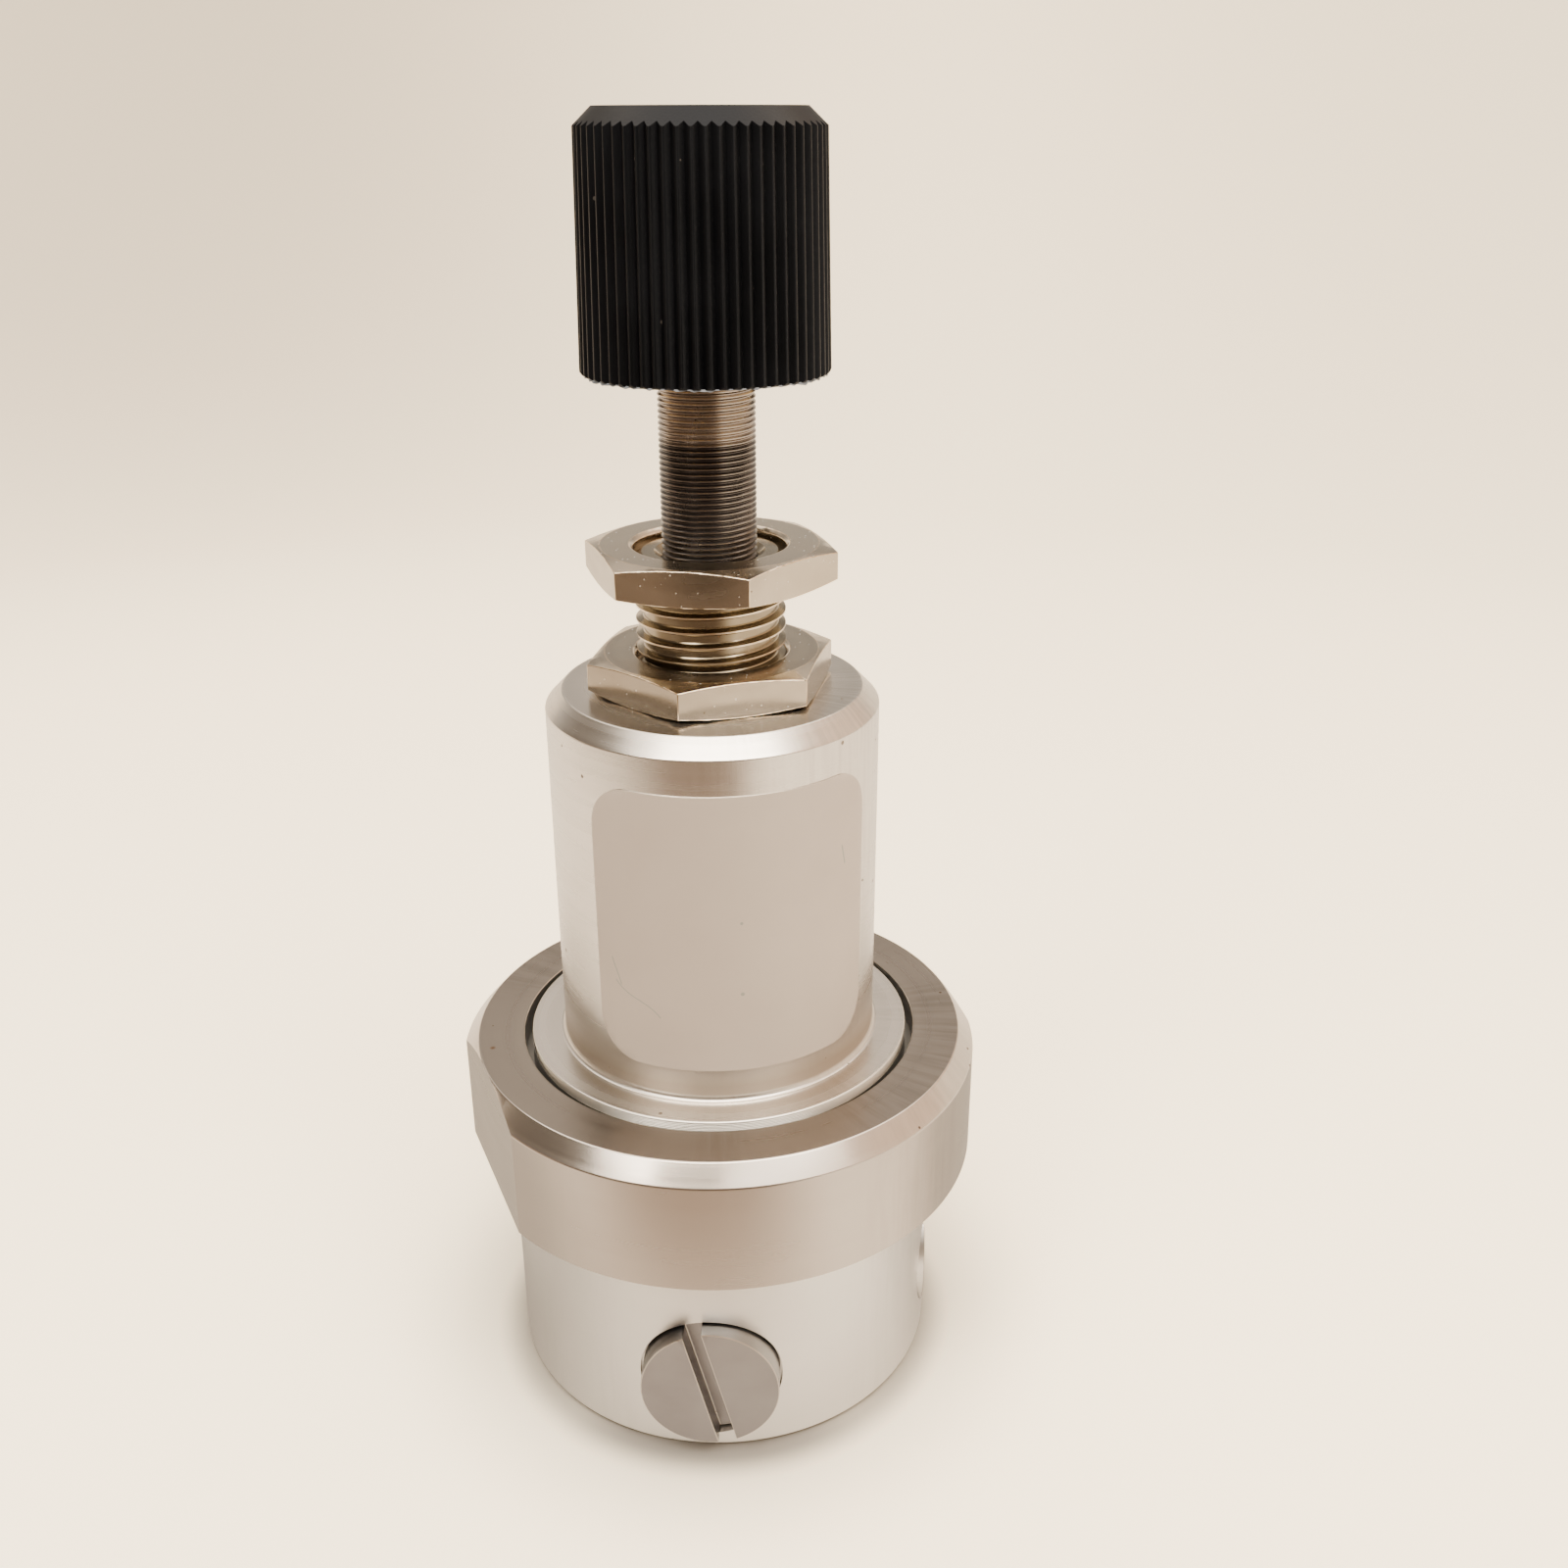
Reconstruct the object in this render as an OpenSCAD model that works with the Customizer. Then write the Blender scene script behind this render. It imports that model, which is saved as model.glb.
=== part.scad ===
// Self-relieving diaphragm pressure regulator with a slim bonnet and a
// screwed clamp ring.  Millimetres, +Z up, origin at the middle of the base.
// The front gauge port faces -Y, the inlet -X, the outlet +Y.

/* [Valve body] */
// Diameter of the round body bar
body_d = 44.4; // [43:0.1:48]
// Height of the rim that clamps the diaphragm
body_h = 30; // [29:0.1:33]
// Chamfer round the foot of the body
body_edge = 0.6; // [0.2:0.1:1.2]
// Height of the threaded band that the clamp ring covers
band_h = 6.45; // [5:0.05:8]
// Inset of the clamped discs from the body's edge
flange_inset = 1; // [0.6:0.1:1.2]
// Width of the rim that clamps the diaphragm
rim_w = 4.2; // [3.6:0.1:5]
// Depth of the diaphragm chamber below the rim
chamber_depth = 3; // [2.6:0.1:4]
// Diameter of the bore that holds the bottom retainer
retainer_d = 18; // [16:0.1:19]
// Depth of the bore that holds the bottom retainer
retainer_depth = 5.5; // [5:0.1:6]
// Diameter of the inlet cavity round the poppet
cavity_d = 13; // [12:0.1:14]
// Height of the inlet cavity's ceiling
cavity_top = 16; // [15.5:0.1:17.5]

/* [Ports] */
// Height of the port axes
port_z = 9; // [8.5:0.1:11]
// Mean thread diameter of the ports
port_d = 12.48; // [11:0.02:13]
// Diameter of the countersunk mouth of an open port
mouth_d = 14.2; // [13.8:0.1:15]
// Depth of the tapped holes
port_depth = 11.2; // [10.6:0.1:12]
// Diameter of the drilled air passages
passage_d = 3.2; // [2:0.1:4]
// Distance of the rising passages from the axis
passage_at = 13.5; // [12:0.1:14.5]
// Diameter of the drilling from the inlet to the poppet
inlet_passage_d = 4.8; // [3:0.1:6]
// Diameter of a port plug's head
plug_d = 13.6; // [13.2:0.1:14]
// Length of a port plug's plain head
plug_head_l = 3; // [2.8:0.1:4]
// Whole length of a port plug
plug_l = 10.2; // [9:0.1:10.6]
// How far the front plug stands out of the body
front_plug_proud = 1.5; // [0.2:0.1:2]
// How far the side plug's face lies below the body's wall
side_plug_sunk = 0.35; // [0.1:0.05:0.4]
// Width of the plugs' screwdriver slot
slot_w = 1.8; // [1:0.1:2.6]
// Depth of the plugs' screwdriver slot
slot_depth = 2.2; // [1:0.1:2.6]
// Lean of the front plug's slot from the vertical
slot_lean = 14.1; // [-90:0.1:90]
// Lean of the side plug's slot from the vertical
side_slot_lean = 35; // [-90:0.1:90]

/* [Clamp ring] */
// Wall of the clamp ring outside the body
ring_wall = 4.13; // [3.2:0.01:6]
// Depth of each of the two wrench flats
flat_cut = 1.61; // [0.8:0.01:2.2]
// Bearing of the wrench flats from the front
flat_bearing = -64.8; // [-90:0.1:90]
// Gap between the lip and the bonnet's step
lip_gap = 0.81; // [0.3:0.01:1.2]
// Thickness of the lip
lip_t = 2.82; // [2.2:0.02:4]
// Chamfer of the top edge, measured across the top face
ring_chamfer_w = 1.61; // [0.6:0.01:2]
// Chamfer of the top edge, measured down the side
ring_chamfer_h = 1.85; // [0.6:0.01:2.4]

/* [Bonnet] */
// Diameter of the bonnet tube
bonnet_d = 31.75; // [31:0.05:33]
// Height of the bonnet from its foot to its flat top
bonnet_h = 42.27; // [40:0.01:50]
// Thickness of the hidden flange that the ring holds down
flange_t = 2.5; // [2:0.1:3.5]
// Inset of the step that shows inside the ring from the flange's edge
step_inset = 1.91; // [1.4:0.01:2.4]
// Height of the step above the flange
step_h = 3.18; // [2.6:0.02:4]
// Rounding of the step's upper rim
step_round = 0.2; // [0.2:0.1:1]
// Fillet between the step and the tube
foot_fillet = 0.6; // [0.3:0.1:1.2]
// Chamfer of the top edge, measured across the top face
bonnet_chamfer_w = 1.645; // [0.4:0.005:2]
// Chamfer of the top edge, measured down the side
bonnet_chamfer_h = 1.7; // [0.4:0.05:2.2]
// Wall of the bonnet tube round the range spring
bonnet_wall = 2.475; // [2:0.025:2.8]
// Height of the wide mouth over the diaphragm
bell_h = 1.7; // [1.4:0.1:2.2]
// Thickness of the bonnet's roof
roof_t = 8.27; // [6:0.01:10]
// Diameter of the breather hole in the back of the bonnet
vent_d = 2; // [1:0.1:3]
// Height of the breather hole above the bonnet's foot
vent_at = 14; // [12:0.5:24]

/* [Label] */
// Bearing of the label's middle from the front
label_bearing = 11.3; // [-180:0.1:180]
// Width of the label along the curve
label_w = 28.6; // [20:0.1:36]
// Height of the label
label_h = 28.1; // [20:0.1:30]
// Height of the label's lower edge above the bonnet's foot
label_at = 9.1; // [8:0.1:9.6]
// Radius of the label's corners
label_r = 4.3; // [1:0.1:6]
// Thickness of the label
label_t = 0.1; // [0.05:0.01:0.2]

/* [Stem bushing] */
// Outside diameter of the threaded stem
stem_d = 13.98; // [13:0.02:15]
// How far the stem rises above the bonnet
stem_rise = 12.84; // [12:0.01:16]
// Diameter of the shoulder under the bonnet's roof
shoulder_d = 18; // [16.5:0.1:22]
// Thickness of the shoulder under the bonnet's roof
shoulder_t = 2; // [1:0.1:3]
// Chamfer at the top of the stem
stem_chamfer = 0.7; // [0.3:0.1:1.2]
// Gap between the shoulder and the spring button, backed out
button_gap = 1.1; // [1:0.1:1.6]

/* [Panel nuts] */
// Width of the nuts across their flats
nut_af = 20.73; // [19:0.01:22]
// Thickness of a nut
nut_t = 3.4; // [2.6:0.1:3.6]
// Drop of the chamfer at a nut's corners
nut_drop = 0.46; // [0.2:0.02:0.8]
// Gap between the two nuts, which takes the panel
panel_gap = 6.78; // [2:0.01:7]
// Turn of the lower nut
lower_nut_turn = -10.7; // [-30:0.1:30]
// Turn of the upper nut
upper_nut_turn = 20.3; // [-30:0.1:30]

/* [Adjusting screw] */
// Outside diameter of the adjusting screw's thread
screw_d = 8.73; // [8:0.01:9.2]
// Pitch of the adjusting screw's thread
screw_pitch = 0.508; // [0.4:0.002:0.56]
// Turns from backed out to fully in
screw_turns = 25; // [15:1:25]
// Length of screw that shows between the stem and the knob
screw_show = 16.03; // [15.5:0.01:20]
// Length of the screw inside the knob
screw_grip = 15.6; // [12:0.1:16]
// Diameter of the thrust ball
ball_d = 4.8; // [3.6:0.1:5.4]
// Depth of the pits that hold the thrust ball
ball_pit = 1.4; // [0.8:0.1:1.6]

/* [Knob] */
// Diameter over the ribs at the foot of the knob
knob_d = 22.1; // [20:0.1:25]
// Diameter over the ribs at the upper end of the grip
knob_neck_d = 21.25; // [19.8:0.05:24]
// Diameter of the flat top
knob_face_d = 18; // [14:0.1:19]
// Height of the knob
knob_h = 21.32; // [20:0.02:26]
// Height of the chamfer round the top
knob_chamfer_h = 1.52; // [0.8:0.02:2]
// Number of flutes
flutes = 60; // [24:2:72]
// Depth of a flute
flute_depth = 0.42; // [0.2:0.01:0.6]
// Share of the pitch that a flute takes at the rim
flute_share = 0.8; // [0.5:0.05:0.9]
// Rounding of the foot of the knob
knob_round = 0.35; // [0.1:0.05:0.6]
// Diameter of the brass insert
insert_d = 13; // [12:0.1:14]
// Diameter of the recess under the knob
recess_d = 17.6; // [15:0.1:18.6]
// Depth of the recess under the knob
recess_depth = 0.9; // [0.4:0.1:2]
// Diameter of the set screw
set_d = 3.2; // [2:0.1:4]
// Height of the set screw above the knob's foot
set_at = 5; // [4:0.1:10]
// Length of the set screw
set_l = 4.8; // [3:0.1:5]

/* [Diaphragm stack] */
// Thickness of the diaphragm
diaphragm_t = 1; // [0.6:0.1:1.4]
// Thickness of the slip ring between the diaphragm and the bonnet
slip_t = 0.5; // [0.3:0.1:0.8]
// Gap between the plate on the diaphragm and the bonnet's bore
plate_slack = 1.1; // [0.8:0.1:1.6]
// Thickness of the plate
plate_t = 1.6; // [1.2:0.1:2.2]
// Height of the ring that centres the spring
plate_boss_h = 1.6; // [1:0.1:2.4]
// Diameter of the hub under the diaphragm
hub_d = 14; // [10:0.1:18]
// Thickness of the hub's flange
hub_t = 1; // [0.8:0.1:1.2]
// Diameter of the hub's stud
stud_d = 5; // [4:0.1:6]
// Width of the hub nut across its flats
hub_nut_af = 8; // [7:0.1:9]
// Thickness of the hub nut
hub_nut_t = 2.4; // [1.6:0.1:3]
// Diameter of the relief passage through the hub
relief_d = 1; // [0.6:0.1:1.4]
// Stroke of the diaphragm from shut to fully open
stroke = 0.7; // [0.3:0.05:0.7]
// Gap between the plate and the diaphragm's roll
roll_gap = 0.2; // [0.1:0.05:0.4]

/* [Springs] */
// Wire of the range spring
range_wire = 2; // [1.4:0.1:2]
// Gap between the range spring and the bonnet's bore
range_slack = 1.4; // [0.8:0.1:2]
// Turns of the range spring
range_turns = 7; // [5:0.5:7]
// Thickness of the spring button
button_t = 1.8; // [1.4:0.1:3]
// Height of the button's boss inside the spring
button_boss_h = 2.2; // [1:0.1:3]
// Gap round the button in the bonnet's bore
button_slack = 0.8; // [0.3:0.1:1.2]
// Wall of the bosses that centre the range spring
boss_wall = 1.6; // [1:0.1:2.4]
// Wire of the poppet spring
poppet_wire = 0.45; // [0.3:0.05:0.6]
// Mean diameter of the poppet spring
poppet_mean = 5.3; // [5:0.1:5.4]
// Turns of the poppet spring
poppet_turns = 7; // [5:0.5:8]

/* [Valve] */
// Outside diameter of the screwed seat
seat_d = 10; // [9:0.1:11]
// Diameter of the seat's orifice
orifice_d = 3; // [2.4:0.1:3.4]
// Height of the nozzle lip below the seat
nozzle_h = 1; // [0.6:0.1:1.4]
// Thickness of the seat's hexagon
seat_hex_t = 1; // [0.6:0.1:1]
// Section of the seat's sealing ring
seat_ring_t = 1.4; // [1:0.1:1.6]
// Height of the seat's groove above the inlet cavity
seat_groove_at = 2; // [1.4:0.1:3]
// Diameter of the poppet's stem
poppet_stem_d = 1.6; // [1.2:0.1:1.8]
// Diameter of the poppet's head
poppet_head_d = 6.8; // [6.2:0.1:7.2]
// Thickness of the poppet's head
poppet_head_t = 2.3; // [1.6:0.1:2.4]
// Thickness of the rubber face on the poppet
face_t = 1.2; // [0.8:0.1:1.4]
// Diameter of the poppet's tail
tail_d = 3; // [2.4:0.1:3.2]
// Length of the poppet's tail
tail_l = 5.2; // [4.4:0.1:5.4]
// Height of the retainer's spigot
spigot_h = 2.5; // [2.3:0.1:3]
// Section of the retainer's sealing ring
spigot_ring_t = 1.5; // [1:0.1:1.6]
// Set-back of the retainer from the base
retainer_inset = 1; // [0.4:0.1:1.2]
// Width across the flats of the retainer's socket
socket_af = 8; // [6:0.5:10]
// Depth of the retainer's socket
socket_h = 2; // [1.4:0.1:2.2]
// Depth of the retainer's pocket for the poppet spring
spring_pocket = 3; // [2.6:0.1:3.2]
// Wall of the inlet screen
screen_t = 0.6; // [0.3:0.1:0.8]
// Diameter of the holes in the inlet screen
screen_hole_d = 1.1; // [0.6:0.1:1.4]
// Number of holes in each row of the inlet screen
screen_holes = 8; // [4:1:12]

/* [Fits] */
// Radial clearance of threads and spigots
fit = 0.03; // [0.02:0.01:0.08]
// Radial clearance of sliding and turning pieces
run_fit = 0.05; // [0.03:0.01:0.1]
// Gap left where a spring or a ball only just touches
touch = 0.02; // [0.01:0.01:0.05]
// Break of small machined edges
edge = 0.3; // [0.1:0.05:0.5]

/* [Hidden] */

$fn = 96;
eps = 0.01;

// Heights of the stack, from the base up
body_r = body_d / 2;
bore_d = bonnet_d - 2 * bonnet_wall;
ring_z = body_h - band_h;
floor_z = body_h - chamber_depth;
slip_z = body_h + diaphragm_t;
bonnet_z = slip_z + slip_t;
flange_top = bonnet_z + flange_t;
step_top = flange_top + step_h;
bonnet_top = bonnet_z + bonnet_h;
roof_z = bonnet_top - roof_t;
ring_top = flange_top + lip_t;
lower_nut_z = bonnet_top;
upper_nut_z = lower_nut_z + nut_t + panel_gap;
stem_top = bonnet_top + stem_rise;
knob_z = stem_top + screw_show;
knob_top = knob_z + knob_h;
screw_travel = screw_pitch * screw_turns;

// The thrust train under the roof
button_top = roof_z - shoulder_t - button_gap;
ball_rise = ball_d / 2 - ball_pit;
ball_z = button_top + ball_rise;
screw_end = ball_z + ball_rise;
button_z = button_top - button_t;
plate_top = slip_z + plate_t;
range_length = button_z - plate_top;
range_mean = bore_d - 2 * range_slack - range_wire;
spring_boss_d = range_mean - range_wire - 4 * run_fit;
button_d = bore_d - 2 * button_slack;

// The clamped rim and the moving disc
clamp_r = body_r - flange_inset;
clamp_in = clamp_r - rim_w;
step_r = clamp_r - step_inset;
lip_r = step_r + lip_gap;
plate_d = bore_d - 2 * plate_slack;
hub_z = body_h - hub_t;
seat_hex_af = 1.1 * seat_d;

// The valve
poppet_face_z = cavity_top - nozzle_h;
poppet_head_z = poppet_face_z - face_t - poppet_head_t;
tail_z = poppet_head_z - tail_l;
spigot_top = retainer_depth + spigot_h;
pocket_z = spigot_top - spring_pocket;
spigot_d = cavity_d - 2 * fit;

// A sealing ring's groove is a little higher than the ring
groove_share = 1.2;
seat_seal_z = cavity_top + seat_groove_at;
retainer_seal_z = retainer_depth + edge;

// A regular hexagon of width af across its flats
module hexagon(af) circle(d = af / cos(30), $fn = 6);

// A ring with square edges
module tube(d_out, d_in, h) {
  difference() {
    cylinder(d = d_out, h = h);
    translate([0, 0, -1]) cylinder(d = d_in, h = h + 2);
  }
}

// Places children at a bearing from the front, with +Z pointing outwards
module outwards(bearing, z) {
  translate([0, 0, z]) rotate([0, 0, bearing]) rotate([90, 0, 0]) children();
}

// A tapped port, cut from the body's wall inwards.  recess is the depth of
// the counterbore for a plug's head, and 0 gives an open, countersunk mouth
module port_cut(recess) {
  mouth_h = (mouth_d - port_d) / 2;
  translate([0, 0, body_r - port_depth]) cylinder(d = port_d, h = port_depth + 1);
  if (recess > 0)
    translate([0, 0, body_r - recess]) cylinder(d = plug_d + 4 * fit, h = recess + 1);
  else
    translate([0, 0, body_r - mouth_h])
      cylinder(d1 = port_d, d2 = mouth_d + 2, h = mouth_h + 1);
}

// The drilling that joins a port to the diaphragm chamber
module rising_passage(bearing) {
  rotate([0, 0, bearing]) translate([0, -passage_at, port_z])
    cylinder(d = passage_d, h = floor_z - port_z + eps);
}

// The round bar that carries the ports, the valve and the clamped rim
module valve_body() {
  color("gainsboro") difference() {
    union() {
      cylinder(r1 = body_r - body_edge, r2 = body_r, h = body_edge);
      translate([0, 0, body_edge]) cylinder(r = body_r, h = body_h - 2 * body_edge);
      translate([0, 0, body_h - body_edge])
        cylinder(r1 = body_r, r2 = body_r - body_edge, h = body_edge);
    }
    translate([0, 0, floor_z]) cylinder(r = clamp_in, h = chamber_depth + 1);
    translate([0, 0, -1]) cylinder(d = retainer_d, h = retainer_depth + 1);
    translate([0, 0, retainer_depth - eps])
      cylinder(d = cavity_d, h = cavity_top - retainer_depth + eps);
    translate([0, 0, cavity_top - eps]) cylinder(d = seat_d, h = floor_z - cavity_top + 1);
    outwards(0, port_z) port_cut(plug_head_l - front_plug_proud + edge);
    outwards(90, port_z) port_cut(plug_head_l + side_plug_sunk + edge);
    outwards(180, port_z) port_cut(0);
    outwards(-90, port_z) port_cut(0);
    outwards(-90, port_z) cylinder(d = inlet_passage_d, h = body_r - port_depth + eps);
    for (bearing = [0, 90, 180]) rising_passage(bearing);
  }
}

// The screwed ring that pulls the bonnet down onto the body
module clamp_ring() {
  in_r = body_r + fit;
  r = in_r + ring_wall;
  color("silver") difference() {
    rotate_extrude() polygon([
      [in_r, ring_z + edge], [in_r + edge, ring_z], [r - edge, ring_z], [r, ring_z + edge],
      [r, ring_top - ring_chamfer_h], [r - ring_chamfer_w, ring_top],
      [lip_r + edge, ring_top], [lip_r, ring_top - edge],
      [lip_r, flange_top], [in_r, flange_top]]);
    for (side = [0, 180])
      rotate([0, 0, flat_bearing + side])
        translate([-r, -2 * r + flat_cut, ring_z - 1])
          cube([2 * r, r, ring_top - ring_z + 2]);
  }
}

// Half section of the bonnet, foot to roof
module bonnet_section() {
  r = bonnet_d / 2;
  bore = bore_d / 2;
  cone_z = bonnet_z + bell_h;
  difference() {
    union() {
      translate([0, bonnet_z]) square([clamp_r, flange_t]);
      translate([0, flange_top]) square([step_r, step_h - step_round]);
      translate([0, flange_top]) square([step_r - step_round, step_h]);
      translate([step_r - step_round, step_top - step_round]) circle(r = step_round);
      translate([0, step_top - eps]) square([r + foot_fillet, foot_fillet + eps]);
      translate([0, step_top]) square([r, bonnet_h - flange_t - step_h - bonnet_chamfer_h]);
      polygon([[0, bonnet_top - bonnet_chamfer_h], [r, bonnet_top - bonnet_chamfer_h],
               [r - bonnet_chamfer_w, bonnet_top], [0, bonnet_top]]);
    }
    translate([r + foot_fillet, step_top + foot_fillet]) circle(r = foot_fillet);
    polygon([[-1, bonnet_z - 1], [clamp_in, bonnet_z - 1], [clamp_in, cone_z],
             [bore, cone_z + clamp_in - bore], [bore, roof_z], [-1, roof_z]]);
    translate([-1, roof_z - 1]) square([stem_d / 2 + fit + 1, roof_t + 2]);
  }
}

// The turned housing of the range spring
module bonnet() {
  color("lightgray") difference() {
    rotate_extrude() bonnet_section();
    outwards(180, bonnet_z + vent_at) cylinder(d = vent_d, h = bonnet_d);
  }
}

// Half height of the label at a distance s from its middle, along the curve
function label_half(s) =
  let (c = abs(s) - (label_w / 2 - label_r))
  label_h / 2 - (c > 0 ? label_r - sqrt(max(0, label_r * label_r - c * c)) : 0);

// The blank self-adhesive label, wrapped round the bonnet
module label_plate() {
  r_in = bonnet_d / 2 + touch;
  mid = bonnet_z + label_at + label_h / 2;
  n = $fn / 2;
  // columns lie closer together towards the rounded ends
  s = [for (i = [0 : n]) -label_w / 2 * cos(180 * i / n)];
  ends = [for (v = s) max(0.01, label_half(v))];
  points = [for (i = [0 : n], r = [r_in, r_in + label_t], side = [-1, 1])
    let (a = s[i] / (bonnet_d / 2) * 180 / PI + label_bearing)
    [r * sin(a), -r * cos(a), mid + side * ends[i]]];
  faces = concat(
    [[0, 1, 3, 2]],
    [for (i = [0 : n - 1]) let (k = 4 * i) each [
      [k, k + 4, k + 5, k + 1],
      [k + 2, k + 3, k + 7, k + 6],
      [k, k + 2, k + 6, k + 4],
      [k + 1, k + 5, k + 7, k + 3]]],
    [[4 * n, 4 * n + 2, 4 * n + 3, 4 * n + 1]]);
  color("linen") polyhedron(points, faces);
}

// The threaded stem, held by its shoulder under the roof
module stem_bushing() {
  color("tan") difference() {
    rotate_extrude() polygon([
      [0, roof_z - shoulder_t], [shoulder_d / 2, roof_z - shoulder_t], [shoulder_d / 2, roof_z],
      [stem_d / 2, roof_z], [stem_d / 2, stem_top - stem_chamfer],
      [stem_d / 2 - stem_chamfer, stem_top], [0, stem_top]]);
    translate([0, 0, roof_z - shoulder_t - 1])
      cylinder(d = screw_d + 2 * run_fit, h = stem_top - roof_z + shoulder_t + 2);
    translate([0, 0, stem_top - edge])
      cylinder(d1 = screw_d + 2 * run_fit, d2 = screw_d + 2 * run_fit + 4 * edge, h = edge + eps);
  }
}

// A thin hexagon nut, countersunk, with both faces turned to a flat cone
module panel_nut(turn) {
  corner = nut_af / cos(30) / 2;
  face = nut_af / 2 - edge;
  apex = face + (corner - face) * nut_t / 2 / nut_drop;
  bore = stem_d / 2 + fit;
  color("tan") difference() {
    intersection() {
      rotate([0, 0, turn - 90]) linear_extrude(nut_t) hexagon(nut_af);
      rotate_extrude() polygon([[0, 0], [face, 0], [apex, nut_t / 2], [face, nut_t], [0, nut_t]]);
    }
    translate([0, 0, -1]) cylinder(r = bore, h = nut_t + 2);
    translate([0, 0, -eps]) cylinder(r1 = bore + edge, r2 = bore, h = edge);
    translate([0, 0, nut_t - edge + eps]) cylinder(r1 = bore, r2 = bore + edge, h = edge);
  }
}

module lower_panel_nut() translate([0, 0, lower_nut_z]) panel_nut(lower_nut_turn);
module upper_panel_nut() translate([0, 0, upper_nut_z]) panel_nut(upper_nut_turn);

// The fine-pitch screw that the knob turns
module adjusting_screw() {
  top = knob_z + screw_grip;
  color("rosybrown") difference() {
    rotate_extrude() polygon([
      [0, screw_end], [screw_d / 2 - edge, screw_end], [screw_d / 2, screw_end + edge],
      [screw_d / 2, top - edge], [screw_d / 2 - edge, top], [0, top]]);
    translate([0, 0, ball_z]) sphere(d = ball_d + 2 * touch);
  }
}

// The fluted grip: a drafted, chamfered blank with a ring of vee grooves
module knob() {
  grip_h = knob_h - knob_chamfer_h;
  foot_r = knob_d / 2;
  neck_r = knob_neck_d / 2;
  draft = atan((foot_r - neck_r) / grip_h);
  flute_w = flute_share * PI * neck_r / flutes;
  pocket = screw_grip + edge;
  color([0.12, 0.12, 0.13]) translate([0, 0, knob_z]) difference() {
    rotate_extrude() difference() {
      union() {
        polygon([[0, 0], [foot_r - knob_round, 0], [foot_r - knob_round, knob_round],
          [foot_r - knob_round * tan(draft), knob_round],
          [neck_r, grip_h], [knob_face_d / 2, knob_h], [0, knob_h]]);
        translate([foot_r - knob_round, knob_round]) circle(r = knob_round);
      }
      translate([-knob_d, 0]) square([knob_d, knob_h]);
    }
    for (i = [0 : flutes - 1])
      rotate([0, 0, (i + 0.5) * 360 / flutes]) translate([foot_r, 0, 0]) rotate([0, -draft, 0])
        translate([0, 0, -1]) linear_extrude(knob_h + 2)
          polygon([[-flute_depth, 0], [flute_depth, -2 * flute_w], [flute_depth, 2 * flute_w]]);
    translate([0, 0, -1]) cylinder(d = recess_d, h = recess_depth + 1);
    translate([0, 0, -1]) cylinder(d = insert_d, h = pocket + 1);
    outwards(180, set_at) cylinder(d = set_d + 4 * edge, h = knob_d);
  }
}

// The brass insert moulded into the knob
module knob_insert() {
  color("darkgoldenrod") translate([0, 0, knob_z]) difference() {
    translate([0, 0, recess_depth / 2])
      tube(insert_d - 2 * touch, screw_d + 2 * fit, screw_grip - recess_depth / 2);
    outwards(180, set_at) cylinder(d = set_d, h = knob_d);
  }
}

// The socket set screw that locks the insert to the screw, at the back
module knob_set_screw() {
  socket = set_d / 2;
  color("dimgray") outwards(180, knob_z + set_at)
    translate([0, 0, screw_d / 2 + touch]) difference() {
      cylinder(d = set_d - 2 * fit, h = set_l);
      translate([0, 0, set_l - socket]) linear_extrude(socket + 1) hexagon(set_d / 2);
    }
}

module thrust_ball() {
  color("white") translate([0, 0, ball_z]) sphere(d = ball_d);
}

// The upper spring rest, which the ball pushes down
module spring_button() {
  color("silver") difference() {
    union() {
      translate([0, 0, button_z]) cylinder(d = button_d, h = button_t);
      translate([0, 0, button_z - button_boss_h])
        cylinder(d1 = spring_boss_d - 2 * edge, d2 = spring_boss_d, h = button_boss_h + eps);
    }
    translate([0, 0, ball_z]) sphere(d = ball_d + 2 * touch);
    translate([0, 0, button_z - button_boss_h - 1])
      cylinder(d = spring_boss_d - 2 * boss_wall, h = button_boss_h);
  }
}

// Height of the wire's centre after t turns of a spring with closed ends,
// whose first and last turns climb just over the wire's own thickness
function coil_z(t, turns, length, wire) =
  let (shut = wire + touch, rise = (length - wire - 2 * shut) / (turns - 2))
  wire / 2 + (t < 1 ? shut * t : t < turns - 1 ? shut + rise * (t - 1)
                                               : length - wire - shut * (turns - t));

// A round-wire compression spring standing on z = 0
module coil_spring(mean, wire, turns, length, steps, sides) {
  n = round(turns * steps);
  points = [for (i = [0 : n], j = [0 : sides - 1])
    let (a = 360 * i / steps, b = 360 * j / sides, r = mean / 2 + wire / 2 * cos(b))
    [r * cos(a), r * sin(a), coil_z(i / steps, turns, length, wire) + wire / 2 * sin(b)]];
  faces = concat(
    [[for (j = [0 : sides - 1]) j]],
    [for (i = [0 : n - 1], j = [0 : sides - 1])
      let (a = i * sides + j, b = i * sides + (j + 1) % sides)
      [a, a + sides, b + sides, b]],
    [[for (j = [sides - 1 : -1 : 0]) n * sides + j]]);
  polyhedron(points, faces);
}

module range_spring() {
  color("slategray") translate([0, 0, plate_top + touch])
    coil_spring(range_mean, range_wire, range_turns, range_length - 2 * touch, 24, 8);
}

// The thin ring that keeps the bonnet from dragging the diaphragm round
module slip_ring() {
  color("khaki") translate([0, 0, slip_z]) tube(2 * clamp_r, 2 * clamp_in, slip_t);
}

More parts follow.
